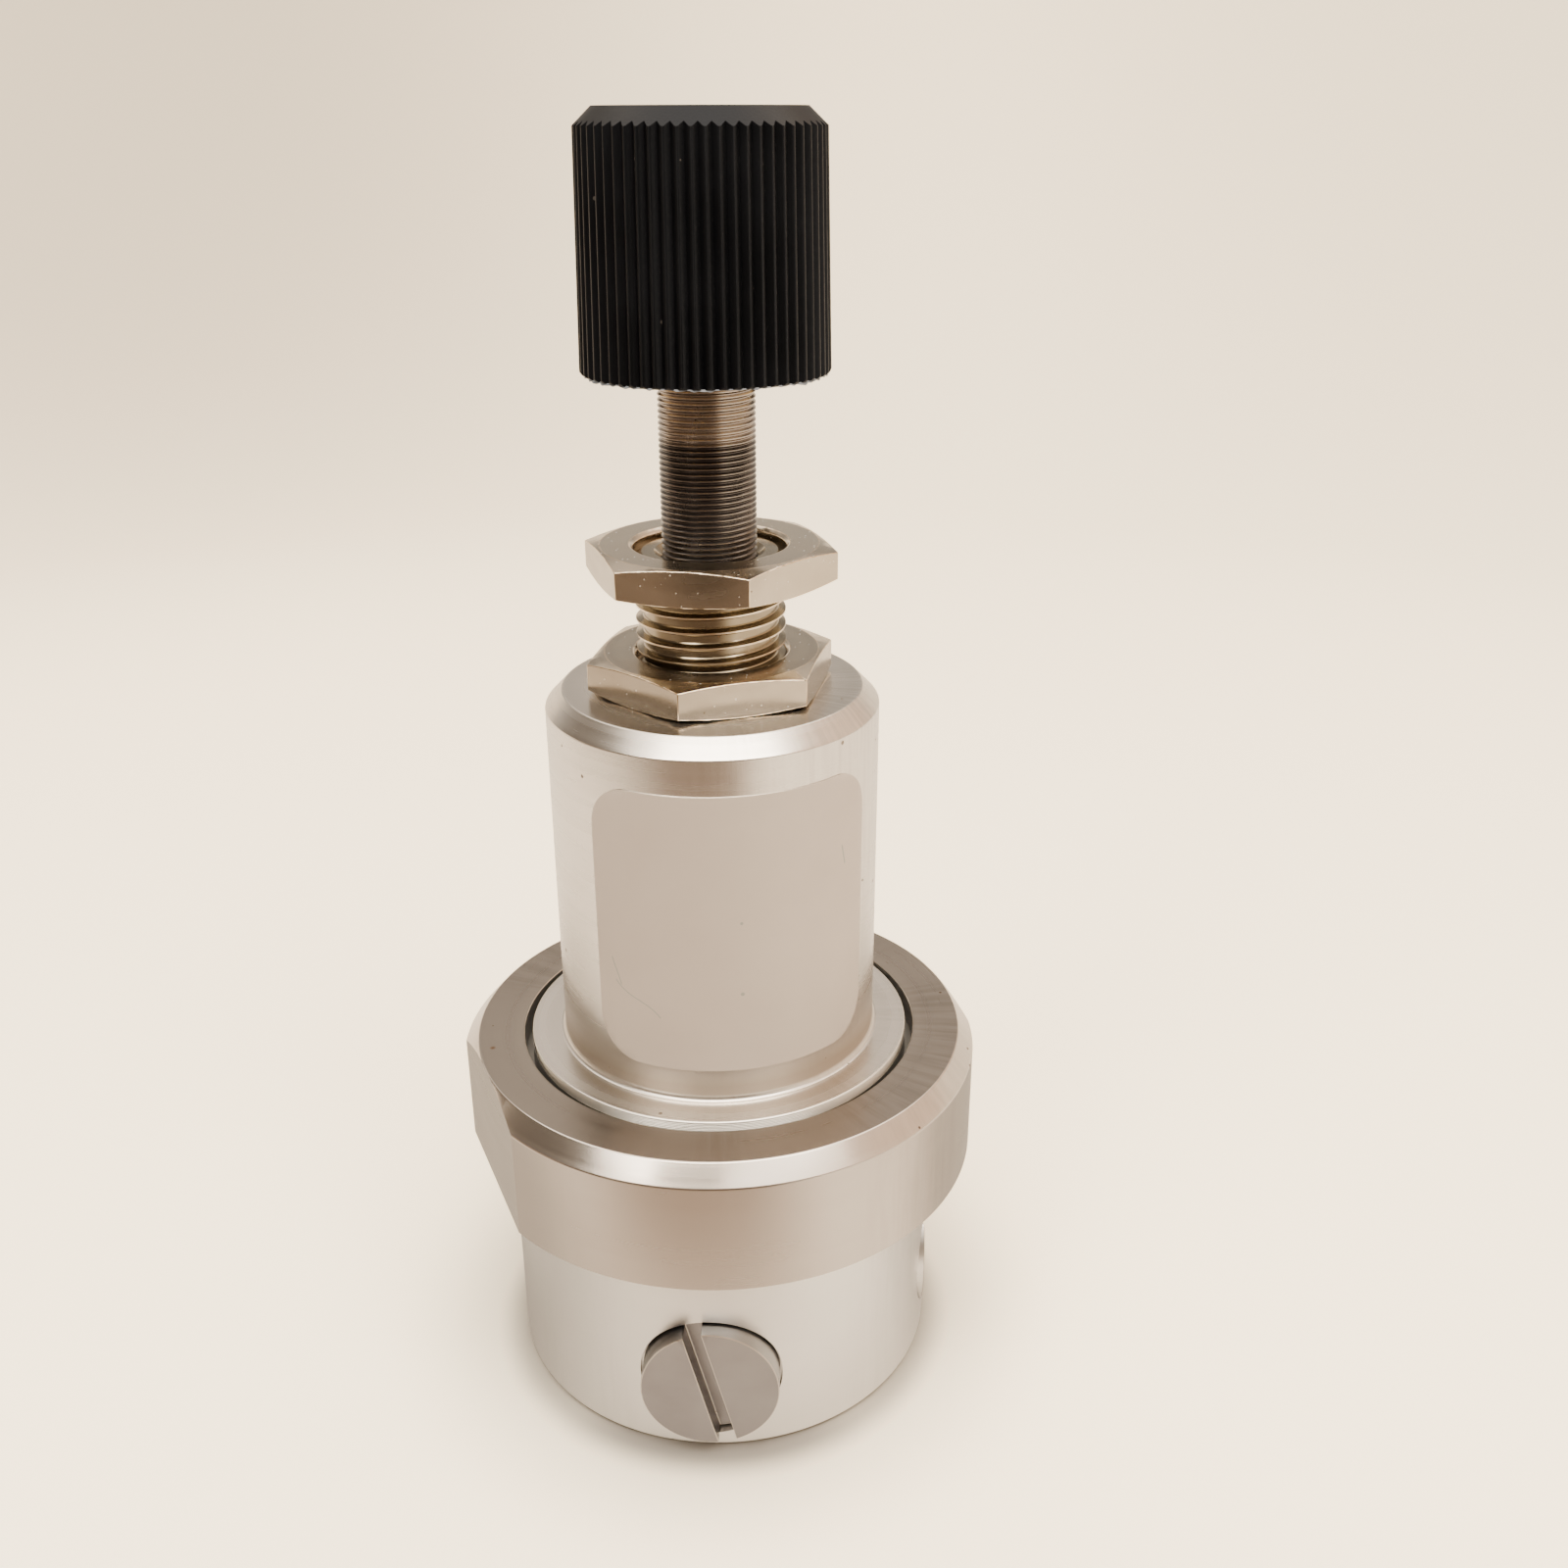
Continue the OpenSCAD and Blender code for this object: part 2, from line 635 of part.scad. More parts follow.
// The moulded diaphragm: clamped rim, rolled convolution, flat middle
module diaphragm() {
  roll_in = plate_d / 2 + roll_gap;
  roll_mid = (roll_in + clamp_in) / 2;
  roll_r = (clamp_in - roll_in) / 2;
  color([0.2, 0.2, 0.2]) rotate_extrude() difference() {
    union() {
      translate([stud_d / 2 + fit, body_h]) square([clamp_r - stud_d / 2 - fit, diaphragm_t]);
      translate([roll_mid, body_h]) intersection() {
        circle(r = roll_r);
        translate([-roll_r, 0]) square([2 * roll_r, roll_r]);
      }
    }
    translate([roll_mid, body_h]) intersection() {
      circle(r = roll_r - diaphragm_t);
      translate([-roll_r, -1]) square([2 * roll_r, roll_r + 1]);
    }
  }
}

// The lower spring rest, clamped on top of the diaphragm
module diaphragm_plate() {
  color("silver") translate([0, 0, slip_z]) difference() {
    union() {
      cylinder(d = plate_d, h = plate_t);
      cylinder(d1 = spring_boss_d, d2 = spring_boss_d - 2 * edge, h = plate_t + plate_boss_h);
    }
    translate([0, 0, -1]) cylinder(d = stud_d + 2 * fit, h = plate_t + 2);
    translate([0, 0, plate_t]) cylinder(d = spring_boss_d - 2 * boss_wall, h = plate_boss_h + 1);
  }
}

// The vented hub under the diaphragm.  Its flat face is the relief seat
module diaphragm_hub() {
  top = plate_top + hub_nut_t + 2 * edge;
  color("darkgoldenrod") difference() {
    union() {
      translate([0, 0, hub_z]) cylinder(d = hub_d, h = hub_t);
      translate([0, 0, hub_z]) cylinder(d = stud_d, h = top - hub_z);
    }
    translate([0, 0, hub_z - 1]) cylinder(d = relief_d, h = top - hub_z + 2);
  }
}

module hub_nut() {
  color("tan") translate([0, 0, plate_top]) difference() {
    linear_extrude(hub_nut_t) hexagon(hub_nut_af);
    translate([0, 0, -1]) cylinder(d = stud_d + 2 * fit, h = hub_nut_t + 2);
  }
}

// Groove for a sealing ring of section t on a spigot of diameter d
module seal_groove(d, t, z) {
  translate([0, 0, z]) tube(d + 2, d - 2 * t, groove_share * t);
}

// A sealing ring that fills such a groove
module seal(d, t, z) {
  translate([0, 0, z + groove_share * t / 2]) rotate_extrude()
    translate([(d - t) / 2, 0]) circle(d = t - 2 * touch, $fn = 32);
}

// The screwed seat with its nozzle lip
module valve_seat() {
  hex_top = floor_z + seat_hex_t;
  color("darkgoldenrod") difference() {
    union() {
      translate([0, 0, cavity_top])
        cylinder(d = seat_d - 2 * fit, h = floor_z - cavity_top + eps);
      translate([0, 0, floor_z]) linear_extrude(seat_hex_t) hexagon(seat_hex_af);
      translate([0, 0, poppet_face_z])
        cylinder(d1 = orifice_d + 2 * edge, d2 = orifice_d + 4 * edge, h = nozzle_h + eps);
    }
    translate([0, 0, poppet_face_z - 1]) cylinder(d = orifice_d, h = hex_top - poppet_face_z + 2);
    seal_groove(seat_d, seat_ring_t, seat_seal_z);
  }
}

module seat_seal() {
  color([0.15, 0.15, 0.15]) seal(seat_d, seat_ring_t, seat_seal_z);
}

// The poppet: stem up to the hub, head under the nozzle, tail in the retainer
module poppet() {
  color("gold") union() {
    translate([0, 0, poppet_head_z]) cylinder(d = poppet_head_d, h = poppet_head_t);
    translate([0, 0, poppet_head_z]) cylinder(d = poppet_stem_d, h = hub_z - poppet_head_z);
    translate([0, 0, tail_z]) cylinder(d = tail_d, h = tail_l + eps);
  }
}

module poppet_face() {
  color([0.15, 0.15, 0.15]) translate([0, 0, poppet_face_z - face_t])
    tube(poppet_head_d - 2 * edge, poppet_stem_d + 2 * touch, face_t);
}

module poppet_spring() {
  color("slategray") translate([0, 0, pocket_z + touch])
    coil_spring(poppet_mean, poppet_wire, poppet_turns,
                poppet_head_z - pocket_z - 2 * touch, 20, 6);
}

// The perforated sleeve that keeps dirt off the seat
module inlet_screen() {
  height = cavity_top - spigot_top;
  color("slategray") translate([0, 0, spigot_top]) difference() {
    tube(cavity_d - 2 * touch, cavity_d - 2 * screen_t - 2 * touch, height);
    for (i = [0 : screen_holes - 1], row = [1, 2])
      outwards((i + row / 3) * 360 / screen_holes, height * row / 3)
        cylinder(d = screen_hole_d, h = cavity_d, $fn = 24);
  }
}

// The bottom plug that holds the valve in, with its hexagon socket
module valve_retainer() {
  color("tan") difference() {
    union() {
      translate([0, 0, retainer_inset])
        cylinder(d = retainer_d - 2 * fit, h = retainer_depth - retainer_inset);
      translate([0, 0, retainer_depth - eps]) cylinder(d = spigot_d, h = spigot_h + eps);
    }
    translate([0, 0, retainer_inset - 1]) linear_extrude(socket_h + 1) hexagon(socket_af);
    translate([0, 0, tail_z - stroke - 2 * edge])
      cylinder(d = tail_d + 2 * run_fit, h = spigot_top);
    translate([0, 0, pocket_z])
      tube(poppet_mean + poppet_wire + 4 * run_fit,
           poppet_mean - poppet_wire - 4 * run_fit, spring_pocket + 1);
    seal_groove(spigot_d, spigot_ring_t, retainer_seal_z);
  }
}

module retainer_seal() {
  color([0.15, 0.15, 0.15]) seal(spigot_d, spigot_ring_t, retainer_seal_z);
}

// A slotted port plug whose face stands proud of the body by the given length
module port_plug(bearing, proud, lean) {
  face = body_r + proud;
  shank_d = port_d - 2 * fit;
  color("silver") outwards(bearing, port_z) difference() {
    union() {
      translate([0, 0, face - plug_head_l]) cylinder(d = plug_d, h = plug_head_l - edge);
      translate([0, 0, face - edge]) cylinder(d1 = plug_d, d2 = plug_d - 2 * edge, h = edge);
      translate([0, 0, face - plug_l]) cylinder(d = shank_d, h = plug_l - plug_head_l + eps);
    }
    rotate([0, 0, lean]) translate([-slot_w / 2, -plug_d, face - slot_depth])
      cube([slot_w, 2 * plug_d, slot_depth + 1]);
  }
}

module front_port_plug() port_plug(0, front_plug_proud, slot_lean);
module side_port_plug() port_plug(90, -side_plug_sunk, side_slot_lean);

valve_body();
clamp_ring();
bonnet();
label_plate();
stem_bushing();
lower_panel_nut();
upper_panel_nut();
adjusting_screw();
knob();
knob_insert();
knob_set_screw();
thrust_ball();
spring_button();
range_spring();
slip_ring();
diaphragm();
diaphragm_plate();
diaphragm_hub();
hub_nut();
valve_seat();
seat_seal();
poppet();
poppet_face();
poppet_spring();
inlet_screen();
valve_retainer();
retainer_seal();
front_port_plug();
side_port_plug();
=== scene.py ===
import math
import random

import bpy
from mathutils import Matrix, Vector


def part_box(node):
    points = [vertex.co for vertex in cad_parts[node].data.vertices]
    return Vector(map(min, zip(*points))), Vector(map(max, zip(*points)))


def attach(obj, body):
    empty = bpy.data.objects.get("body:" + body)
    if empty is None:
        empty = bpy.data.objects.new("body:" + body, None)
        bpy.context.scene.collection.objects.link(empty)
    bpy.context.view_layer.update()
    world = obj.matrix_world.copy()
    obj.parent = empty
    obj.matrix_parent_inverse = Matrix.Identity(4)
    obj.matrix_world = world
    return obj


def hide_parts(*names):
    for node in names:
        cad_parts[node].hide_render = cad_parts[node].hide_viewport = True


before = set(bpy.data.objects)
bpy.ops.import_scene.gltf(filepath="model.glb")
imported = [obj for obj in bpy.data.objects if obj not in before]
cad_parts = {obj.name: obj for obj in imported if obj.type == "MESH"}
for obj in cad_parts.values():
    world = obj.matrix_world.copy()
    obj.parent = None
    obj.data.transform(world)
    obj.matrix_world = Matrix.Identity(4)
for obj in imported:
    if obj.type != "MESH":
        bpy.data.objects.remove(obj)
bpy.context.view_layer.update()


# ---------------------------------------------------------------------------
# Valve body: a short round bar of aluminium, turned all over and then drilled
# and tapped from the side for four ports.  It stands on a narrow chamfered
# foot, and everything else is screwed to it.

mm = 0.001
tolerance = 0.00005 * mm


def deselect():
    bpy.ops.object.select_all(action="DESELECT")


def make_active(piece):
    deselect()
    piece.select_set(True)
    bpy.context.view_layer.objects.active = piece


def named(name):
    """The primitive just added, under its own name."""
    piece = bpy.context.object
    piece.name = piece.data.name = name
    return piece


def drawn(name, outline):
    """An open line through (radius, height) points, in millimetres, left in edit mode."""
    deselect()
    bpy.ops.mesh.primitive_plane_add(size=mm)
    piece = named(name)
    bpy.ops.object.mode_set(mode="EDIT")
    bpy.ops.mesh.select_all(action="SELECT")
    bpy.ops.mesh.merge(type="CENTER")
    bpy.ops.transform.translate(value=(outline[0][0] * mm, 0, outline[0][1] * mm))
    for (r0, z0), (r1, z1) in zip(outline, outline[1:]):
        step = ((r1 - r0) * mm, 0, (z1 - z0) * mm)
        bpy.ops.mesh.extrude_region_move(TRANSFORM_OT_translate={"value": step})
    bpy.ops.mesh.select_all(action="SELECT")
    return piece


def weld(gap=0.0001):
    """Joins the doubled points of the piece being edited, by their gap in millimetres."""
    bpy.ops.mesh.select_all(action="SELECT")
    bpy.ops.mesh.remove_doubles(threshold=gap * mm)


def turned(name, outline, steps=192):
    """A solid of revolution round Z, from an outline that ends where it starts or on the axis."""
    piece = drawn(name, outline)
    bpy.ops.mesh.spin(steps=steps, angle=2 * math.pi, center=(0, 0, 0), axis=(0, 0, 1))
    weld()
    bpy.ops.mesh.normals_make_consistent(inside=False)
    bpy.ops.object.mode_set(mode="OBJECT")
    return piece


def apply_all(piece):
    make_active(piece)
    for modifier in list(piece.modifiers):
        bpy.ops.object.modifier_apply(modifier=modifier.name)


def cut(piece, tool, operation="DIFFERENCE"):
    """Machines a piece with a closed tool, and throws the tool away."""
    modifier = piece.modifiers.new("cut", "BOOLEAN")
    modifier.operation = operation
    modifier.solver = "MANIFOLD"
    modifier.object = tool
    apply_all(piece)
    # The cut leaves an empty material slot behind
    if not any(piece.data.materials):
        piece.data.materials.clear()
    bpy.data.objects.remove(tool)


def smooth(piece, angle=28):
    """Smooth shading that keeps flat faces flat and edges over the angle sharp."""
    make_active(piece)
    if piece.data.has_custom_normals:
        bpy.ops.mesh.customdata_custom_splitnormals_clear()
    bpy.ops.object.shade_smooth_by_angle(angle=math.radians(angle))
    modifier = piece.modifiers.new("flats", "WEIGHTED_NORMAL")
    modifier.keep_sharp = True
    apply_all(piece)


def break_edges(piece, width, segments=2, angle=25, worn_and_lit=-1):
    """Rounds off the sharp edges, by width in millimetres.  worn is their material's index."""
    modifier = piece.modifiers.new("edges", "BEVEL")
    modifier.limit_method = "ANGLE"
    modifier.angle_limit = math.radians(angle)
    modifier.width = width * mm
    modifier.segments = segments
    modifier.use_clamp_overlap = False
    modifier.material = worn_and_lit
    apply_all(piece)
    smooth(piece)


def point_outwards(piece, bearing, height):
    """Lays a piece made along +Z so that it points outwards, at a bearing from the front."""
    make_active(piece)
    piece.rotation_euler = (math.radians(90), 0, math.radians(bearing))
    piece.location = (0, 0, height * mm)
    bpy.ops.object.transform_apply(location=True, rotation=True)


def bored(piece, bearing, height, outline, steps=48):
    """Drills a piece from one side, with a tool turned from (radius, reach) points."""
    tool = turned("tool", outline, steps)
    point_outwards(tool, bearing, height)
    cut(piece, tool)


def sawn(at, outwards, **offcut):
    """Cuts the piece being edited with a plane.  offcut says what becomes of the outer part."""
    bpy.ops.mesh.select_all(action="SELECT")
    bpy.ops.mesh.bisect(plane_co=at, plane_no=outwards, threshold=tolerance, **offcut)


vee = [(1, -0.5), (1, -0.45), (0.5, -0.25), (0, -0.06), (0, 0.06), (0.5, 0.25), (1, 0.45), (1, 0.5)]


def threaded(name, crest, depth, pitch, bottom, top, steps=96, tooth=vee):
    """A rod with a right-hand thread: one tooth swept up a helix, and sawn off flat at both ends.

    The tooth's points are (share of the depth, share of the pitch).
    """
    piece = drawn(name, [(crest - depth * deep, bottom + pitch * along) for deep, along in tooth])
    bpy.ops.object.mode_set(mode="OBJECT")
    modifier = piece.modifiers.new("helix", "SCREW")
    modifier.screw_offset = pitch * mm
    modifier.iterations = math.ceil((top - bottom) / pitch) + 2
    modifier.steps = modifier.render_steps = steps
    modifier.use_smooth_shade = False
    piece.location = (0, 0, -pitch * mm)
    apply_all(piece)
    bpy.ops.object.transform_apply(location=True)
    bpy.ops.object.mode_set(mode="EDIT")
    weld(0.0005)
    for height, up in ((bottom, -1), (top, 1)):
        sawn((0, 0, height * mm), (0, 0, up), use_fill=True, clear_outer=True)
    weld()
    bpy.ops.mesh.normals_make_consistent(inside=False)
    bpy.ops.object.mode_set(mode="OBJECT")
    return piece


# Shared finishes.  Each group gives masks or heights from where a point lies
# on the object, so the pattern stays put whatever the piece does.

def group(name, inputs, outputs):
    tree = bpy.data.node_groups.new(name, "ShaderNodeTree")
    sockets, kind = tree.interface, "NodeSocketFloat"
    for label, value in inputs.items():
        sockets.new_socket(name=label, in_out="INPUT", socket_type=kind).default_value = value
    for label in outputs:
        sockets.new_socket(name=label, in_out="OUTPUT", socket_type=kind)
    return tree, tree.nodes.new("NodeGroupInput"), tree.nodes.new("NodeGroupOutput")


def feed(tree, socket, value):
    """Links a socket to another, or sets it to a number or a colour."""
    if isinstance(value, bpy.types.NodeSocket):
        tree.links.new(value, socket)
    else:
        socket.default_value = value


def maths(tree, operation, *values, clamp=False):
    node = tree.nodes.new("ShaderNodeMath")
    node.operation = operation
    node.use_clamp = clamp
    for socket, value in zip(node.inputs, values):
        feed(tree, socket, value)
    return node.outputs[0]


def noise(tree, where, scale, detail=2.0, dimensions="3D"):
    """Soft noise, at points of space or along a line."""
    node = tree.nodes.new("ShaderNodeTexNoise")
    node.noise_dimensions = dimensions
    feed(tree, node.inputs["Scale"], scale)
    node.inputs["Detail"].default_value = detail
    tree.links.new(where, node.inputs["W" if dimensions == "1D" else "Vector"])
    return node.outputs["Fac"]


def ranged(tree, value, low, high, from_low=0.0, from_high=1.0):
    node = tree.nodes.new("ShaderNodeMapRange")
    tree.links.new(value, node.inputs["Value"])
    for label, number in (("From Min", from_low), ("From Max", from_high),
                          ("To Min", low), ("To Max", high)):
        node.inputs[label].default_value = number
    return node.outputs["Result"]


def place(tree):
    """Where a point of the surface lies, in the object's own metres."""
    return tree.nodes.new("ShaderNodeTexCoord").outputs["Object"]


def split(tree, vector):
    parts = tree.nodes.new("ShaderNodeSeparateXYZ")
    tree.links.new(vector, parts.inputs[0])
    return parts.outputs


def from_axis(tree, x, y):
    """The distance from the Z axis."""
    return maths(tree, "SQRT", maths(tree, "ADD", maths(tree, "MULTIPLY", x, x),
                                     maths(tree, "MULTIPLY", y, y)))


def turning_marks():
    """Fine rings left by the lathe tool, on walls and faces alike."""
    tree, given, result = group("turning_marks", {"Scale": 4000.0}, ["Marks", "Bands", "Rays"])
    x, y, z = split(tree, place(tree))
    radius = from_axis(tree, x, y)
    along = maths(tree, "SUBTRACT", z, radius)
    scale = given.outputs["Scale"]
    tree.links.new(noise(tree, along, scale, 3.0, "1D"), result.inputs["Marks"])
    broad = noise(tree, along, maths(tree, "MULTIPLY", scale, 0.12), 2.0, "1D")
    tree.links.new(broad, result.inputs["Bands"])
    rim = tree.nodes.new("ShaderNodeCombineXYZ")
    tree.links.new(maths(tree, "DIVIDE", x, radius), rim.inputs[0])
    tree.links.new(maths(tree, "DIVIDE", y, radius), rim.inputs[1])
    tree.links.new(maths(tree, "MULTIPLY", along, 4.0), rim.inputs[2])
    streaks = ranged(tree, noise(tree, rim.outputs[0], 30.0, 5.0), 0, 1, 0.40, 0.66)
    patches = ranged(tree, noise(tree, rim.outputs[0], 1.6, 1.0), 0, 1, 0.44, 0.60)
    tree.links.new(maths(tree, "MULTIPLY", streaks, patches), result.inputs["Rays"])
    return tree


def upright_grain():
    """Short scratches that run up and down a wall, and the streaks of a part wiped by hand."""
    tree, given, result = group("upright_grain", {"Scale": 1.0}, ["Grain"])
    mapping = tree.nodes.new("ShaderNodeMapping")
    mapping.inputs["Scale"].default_value = (9000, 9000, 500)
    tree.links.new(place(tree), mapping.inputs["Vector"])
    tree.links.new(noise(tree, mapping.outputs["Vector"], given.outputs["Scale"], 2.0),
                   result.inputs["Grain"])
    return tree


def specks():
    """Sparse small dots of dust and pitting, and the painted glints."""
    tree, given, result = group("specks", {"Scale": 900.0, "Amount": 0.05}, ["Mask"])
    cells = tree.nodes.new("ShaderNodeTexVoronoi")
    tree.links.new(place(tree), cells.inputs["Vector"])
    tree.links.new(given.outputs["Scale"], cells.inputs["Scale"])
    parts = tree.nodes.new("ShaderNodeSeparateColor")
    tree.links.new(cells.outputs["Color"], parts.inputs[0])
    chosen = maths(tree, "LESS_THAN", parts.outputs[0], given.outputs["Amount"])
    size = maths(tree, "MULTIPLY_ADD", parts.outputs[1], 0.14, 0.05)
    dot = maths(tree, "LESS_THAN", cells.outputs["Distance"], size)
    tree.links.new(maths(tree, "MULTIPLY", chosen, dot), result.inputs["Mask"])
    return tree


def clouds():
    """Slow stains and handling marks."""
    tree, given, result = group("clouds", {"Scale": 60.0}, ["Cloud"])
    tree.links.new(noise(tree, place(tree), given.outputs["Scale"], 4.0), result.inputs["Cloud"])
    return tree


turning_group, grain_group = turning_marks(), upright_grain()
speck_group, cloud_group = specks(), clouds()


def use(tree, node_group, **values):
    node = tree.nodes.new("ShaderNodeGroup")
    node.node_tree = node_group
    for label, value in values.items():
        node.inputs[label].default_value = value
    return node.outputs


def mixed(tree, factor, a, b):
    """One of two colours or values by a mask.  Colours are plain tuples or sockets."""
    node = tree.nodes.new("ShaderNodeMix")
    node.data_type = "RGBA"
    tree.links.new(factor, node.inputs["Factor"])
    colours = [socket for socket in node.inputs if socket.type == "RGBA"]
    for socket, value in zip(colours, (a, b)):
        feed(tree, socket, (*value, 1) if isinstance(value, tuple) else value)
    return [socket for socket in node.outputs if socket.type == "RGBA"][0]


def dressing(name):
    """A new material, with its node tree and its shader."""
    material = bpy.data.materials.new(name)
    material.use_nodes = True
    return material, material.node_tree, material.node_tree.nodes["Principled BSDF"]


def embossed(tree, shader, height):
    """Gives a shader a relief, by its height in metres."""
    bump = tree.nodes.new("ShaderNodeBump")
    bump.inputs["Distance"].default_value = 1.0
    tree.links.new(height, bump.inputs["Height"])
    tree.links.new(bump.outputs["Normal"], shader.inputs["Normal"])


def metal(name, colour, stained, roughness, marks=4000.0, mark_depth=0.0, grain_depth=0.0,
          dirt=(0.10, 0.08, 0.06), dirt_amount=0.02, rough_spread=0.06, cloud_scale=60.0, rays=0.0,
          glints=0.0):
    """A bare or plated metal: two tones in slow stains, tool marks, grain, dirt and painted glints.

    rays is how much the streaks that cross the tool marks darken it.
    """
    material, tree, shader = dressing(name)
    shader.inputs["Metallic"].default_value = 1.0
    turning = use(tree, turning_group, Scale=marks)
    grain = use(tree, grain_group)["Grain"]
    cloud = use(tree, cloud_group, Scale=cloud_scale)["Cloud"]
    dots = use(tree, speck_group, Amount=dirt_amount)["Mask"]
    tone = mixed(tree, ranged(tree, cloud, 0, 1, 0.35, 0.65), colour, stained)
    if rays:
        dull = tuple((1 - rays) * c for c in stained)
        tone = mixed(tree, turning["Rays"], tone, dull)
    rough = ranged(tree, maths(tree, "ADD", turning["Bands"], cloud), roughness - rough_spread,
                   roughness + rough_spread, 0.7, 1.3)
    rough = maths(tree, "MULTIPLY_ADD", dots, 0.3, rough)
    # Painted glints: small near-white, rougher specks
    if glints:
        painted_glints = use(tree, speck_group, Scale=2200.0, Amount=glints)["Mask"]
        tone = mixed(tree, painted_glints, tone, (0.92, 0.87, 0.79))
        rough = maths(tree, "MULTIPLY_ADD", painted_glints, 0.35, rough)
    tree.links.new(mixed(tree, dots, tone, dirt), shader.inputs["Base Color"])
    tree.links.new(maths(tree, "MINIMUM", rough, 1.0), shader.inputs["Roughness"])
    embossed(tree, shader, maths(tree, "ADD", maths(tree, "MULTIPLY", turning["Marks"], mark_depth),
                                 maths(tree, "MULTIPLY", grain, grain_depth)))
    return material


def finish(piece, body, slot, *materials):
    """Dresses a new piece, and lets it ride on its body."""
    for material in materials:
        if material.name not in piece.data.materials:
            piece.data.materials.append(material)
    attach(piece, body)


body_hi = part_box("valve_body")[1]
body_r, body_h = body_hi.x / mm, body_hi.z / mm
port_z, port_r, port_blind = 9.0, 6.24, 11.0
plug_hole_r, plug_head = 7.05, 3.3
front_proud, side_sunk = 1.5, 0.35
foot = 0.6

satin_aluminium = metal("satin_aluminium", (0.83, 0.82, 0.805), (0.78, 0.77, 0.755), 0.33,
                        marks=5200, mark_depth=0.0000035, grain_depth=0.000002,
                        dirt=(0.35, 0.32, 0.28), dirt_amount=0.01, rough_spread=0.05, rays=0.03)
# Painted shade: darker metals for the gap inside the ring and the wall of the front plug's hole
gap_shade = metal("gap_shade", (0.30, 0.295, 0.285), (0.24, 0.235, 0.225), 0.45, dirt_amount=0.0)
bore_shade = metal("bore_shade", (0.50, 0.47, 0.43), (0.28, 0.26, 0.24), 0.45, dirt_amount=0.05)

retainer_r, retainer_depth, cavity_r, cavity_top, seat_r, floor_z, chamber_r = (
    9.0, 5.5, 6.5, 16.0, 5.0, 27.0, 17.0)
valve_block = turned("valve_block", [
    (cavity_r, cavity_top), (seat_r, cavity_top), (seat_r, floor_z), (chamber_r, floor_z),
    (chamber_r, body_h), (body_r - foot, body_h), (body_r, body_h - foot), (body_r, foot),
    (body_r - foot, 0), (retainer_r, 0), (retainer_r, retainer_depth),
    (cavity_r, retainer_depth), (cavity_r, cavity_top)], 288)
break_edges(valve_block, 0.12, angle=20)
outside = body_r + 1
for bearing, proud in ((0, front_proud), (90, -side_sunk)):
    shoulder = body_r - plug_head + proud
    bored(valve_block, bearing, port_z,
          [(0, port_blind), (port_r, port_blind), (port_r, shoulder), (plug_hole_r, shoulder),
           (plug_hole_r, outside), (0, outside)], 96)
mouth_r = 7.1
mouth = body_r - (mouth_r - port_r)
for bearing in (180, -90):
    bored(valve_block, bearing, port_z,
          [(0, mouth), (port_r, mouth), (mouth_r + 1, outside), (0, outside)], 96)
# The inlet on the left is drilled through to the valve, and the other three ports lead up to
# the chamber
inlet_drill_r, passage_r, passage_at, drill_end = 2.4, 1.6, 13.5, port_blind + 0.1
bored(valve_block, -90, port_z,
      [(0, 0), (inlet_drill_r, 0), (inlet_drill_r, drill_end), (0, drill_end)])
for bearing in (0, 90, 180):
    tool = turned("tool", [(0, port_z), (passage_r, port_z), (passage_r, floor_z + 1),
                           (0, floor_z + 1)], 48)
    turn = math.radians(bearing)
    tool.location = (passage_at * math.sin(turn) * mm, -passage_at * math.cos(turn) * mm, 0)
    make_active(tool)
    bpy.ops.object.transform_apply(location=True)
    cut(valve_block, tool)
# The two open ports are tapped with a coarse pipe thread
pipe_pitch, pipe_depth = 1.411, 0.9
taps = []
for bearing in (180, -90):
    tap = threaded("tool", port_r + pipe_depth / 2, pipe_depth, pipe_pitch, port_blind, outside, 72)
    point_outwards(tap, bearing, port_z)
    taps.append(tap)
make_active(taps[0])
taps[1].select_set(True)
bpy.ops.object.join()
cut(valve_block, taps[0])
smooth(valve_block)
finish(valve_block, "housing", "body_aluminium", satin_aluminium, bore_shade)
# The wall of the front plug's hole is painted dark: painted shade in the gap round the plug
for face in valve_block.data.polygons:
    x, y, z = face.center / mm
    if y < 0 and abs(face.normal.y) < 0.3 and abs(math.hypot(x, z - port_z) - plug_hole_r) < 0.1:
        face.material_index = 1
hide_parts("valve_body")


# ---------------------------------------------------------------------------
# Port plugs: slotted steel plugs, turned and screwed into the tapped holes.
# The front one stands out of the body, the side one lies just below its wall.

def overlaid(material, mask, colour, rougher=0.0):
    """Lays a colour over a finished metal where the mask is 1, and roughens it there: rust, and
    painted shade.
    """
    tree = material.node_tree
    inputs = tree.nodes["Principled BSDF"].inputs
    tree.links.new(mixed(tree, mask, inputs["Base Color"].links[0].from_socket, colour),
                   inputs["Base Color"])
    if rougher:
        rough = inputs["Roughness"].links[0].from_socket
        tree.links.new(maths(tree, "MULTIPLY_ADD", mask, rougher, rough), inputs["Roughness"])


plug_steel = metal("plug_steel", (0.295, 0.285, 0.295), (0.267, 0.256, 0.265), 0.36,
                   marks=7000, mark_depth=0.000002, dirt_amount=0.006, rough_spread=0.05,
                   cloud_scale=180)
# Bright steel for the plugs' edges: wear, and a painted highlight
wear_and_highlight_steel = metal("wear_and_highlight_steel", (0.62, 0.58, 0.54), (0.50, 0.46, 0.43), 0.30,
                     dirt_amount=0.0)
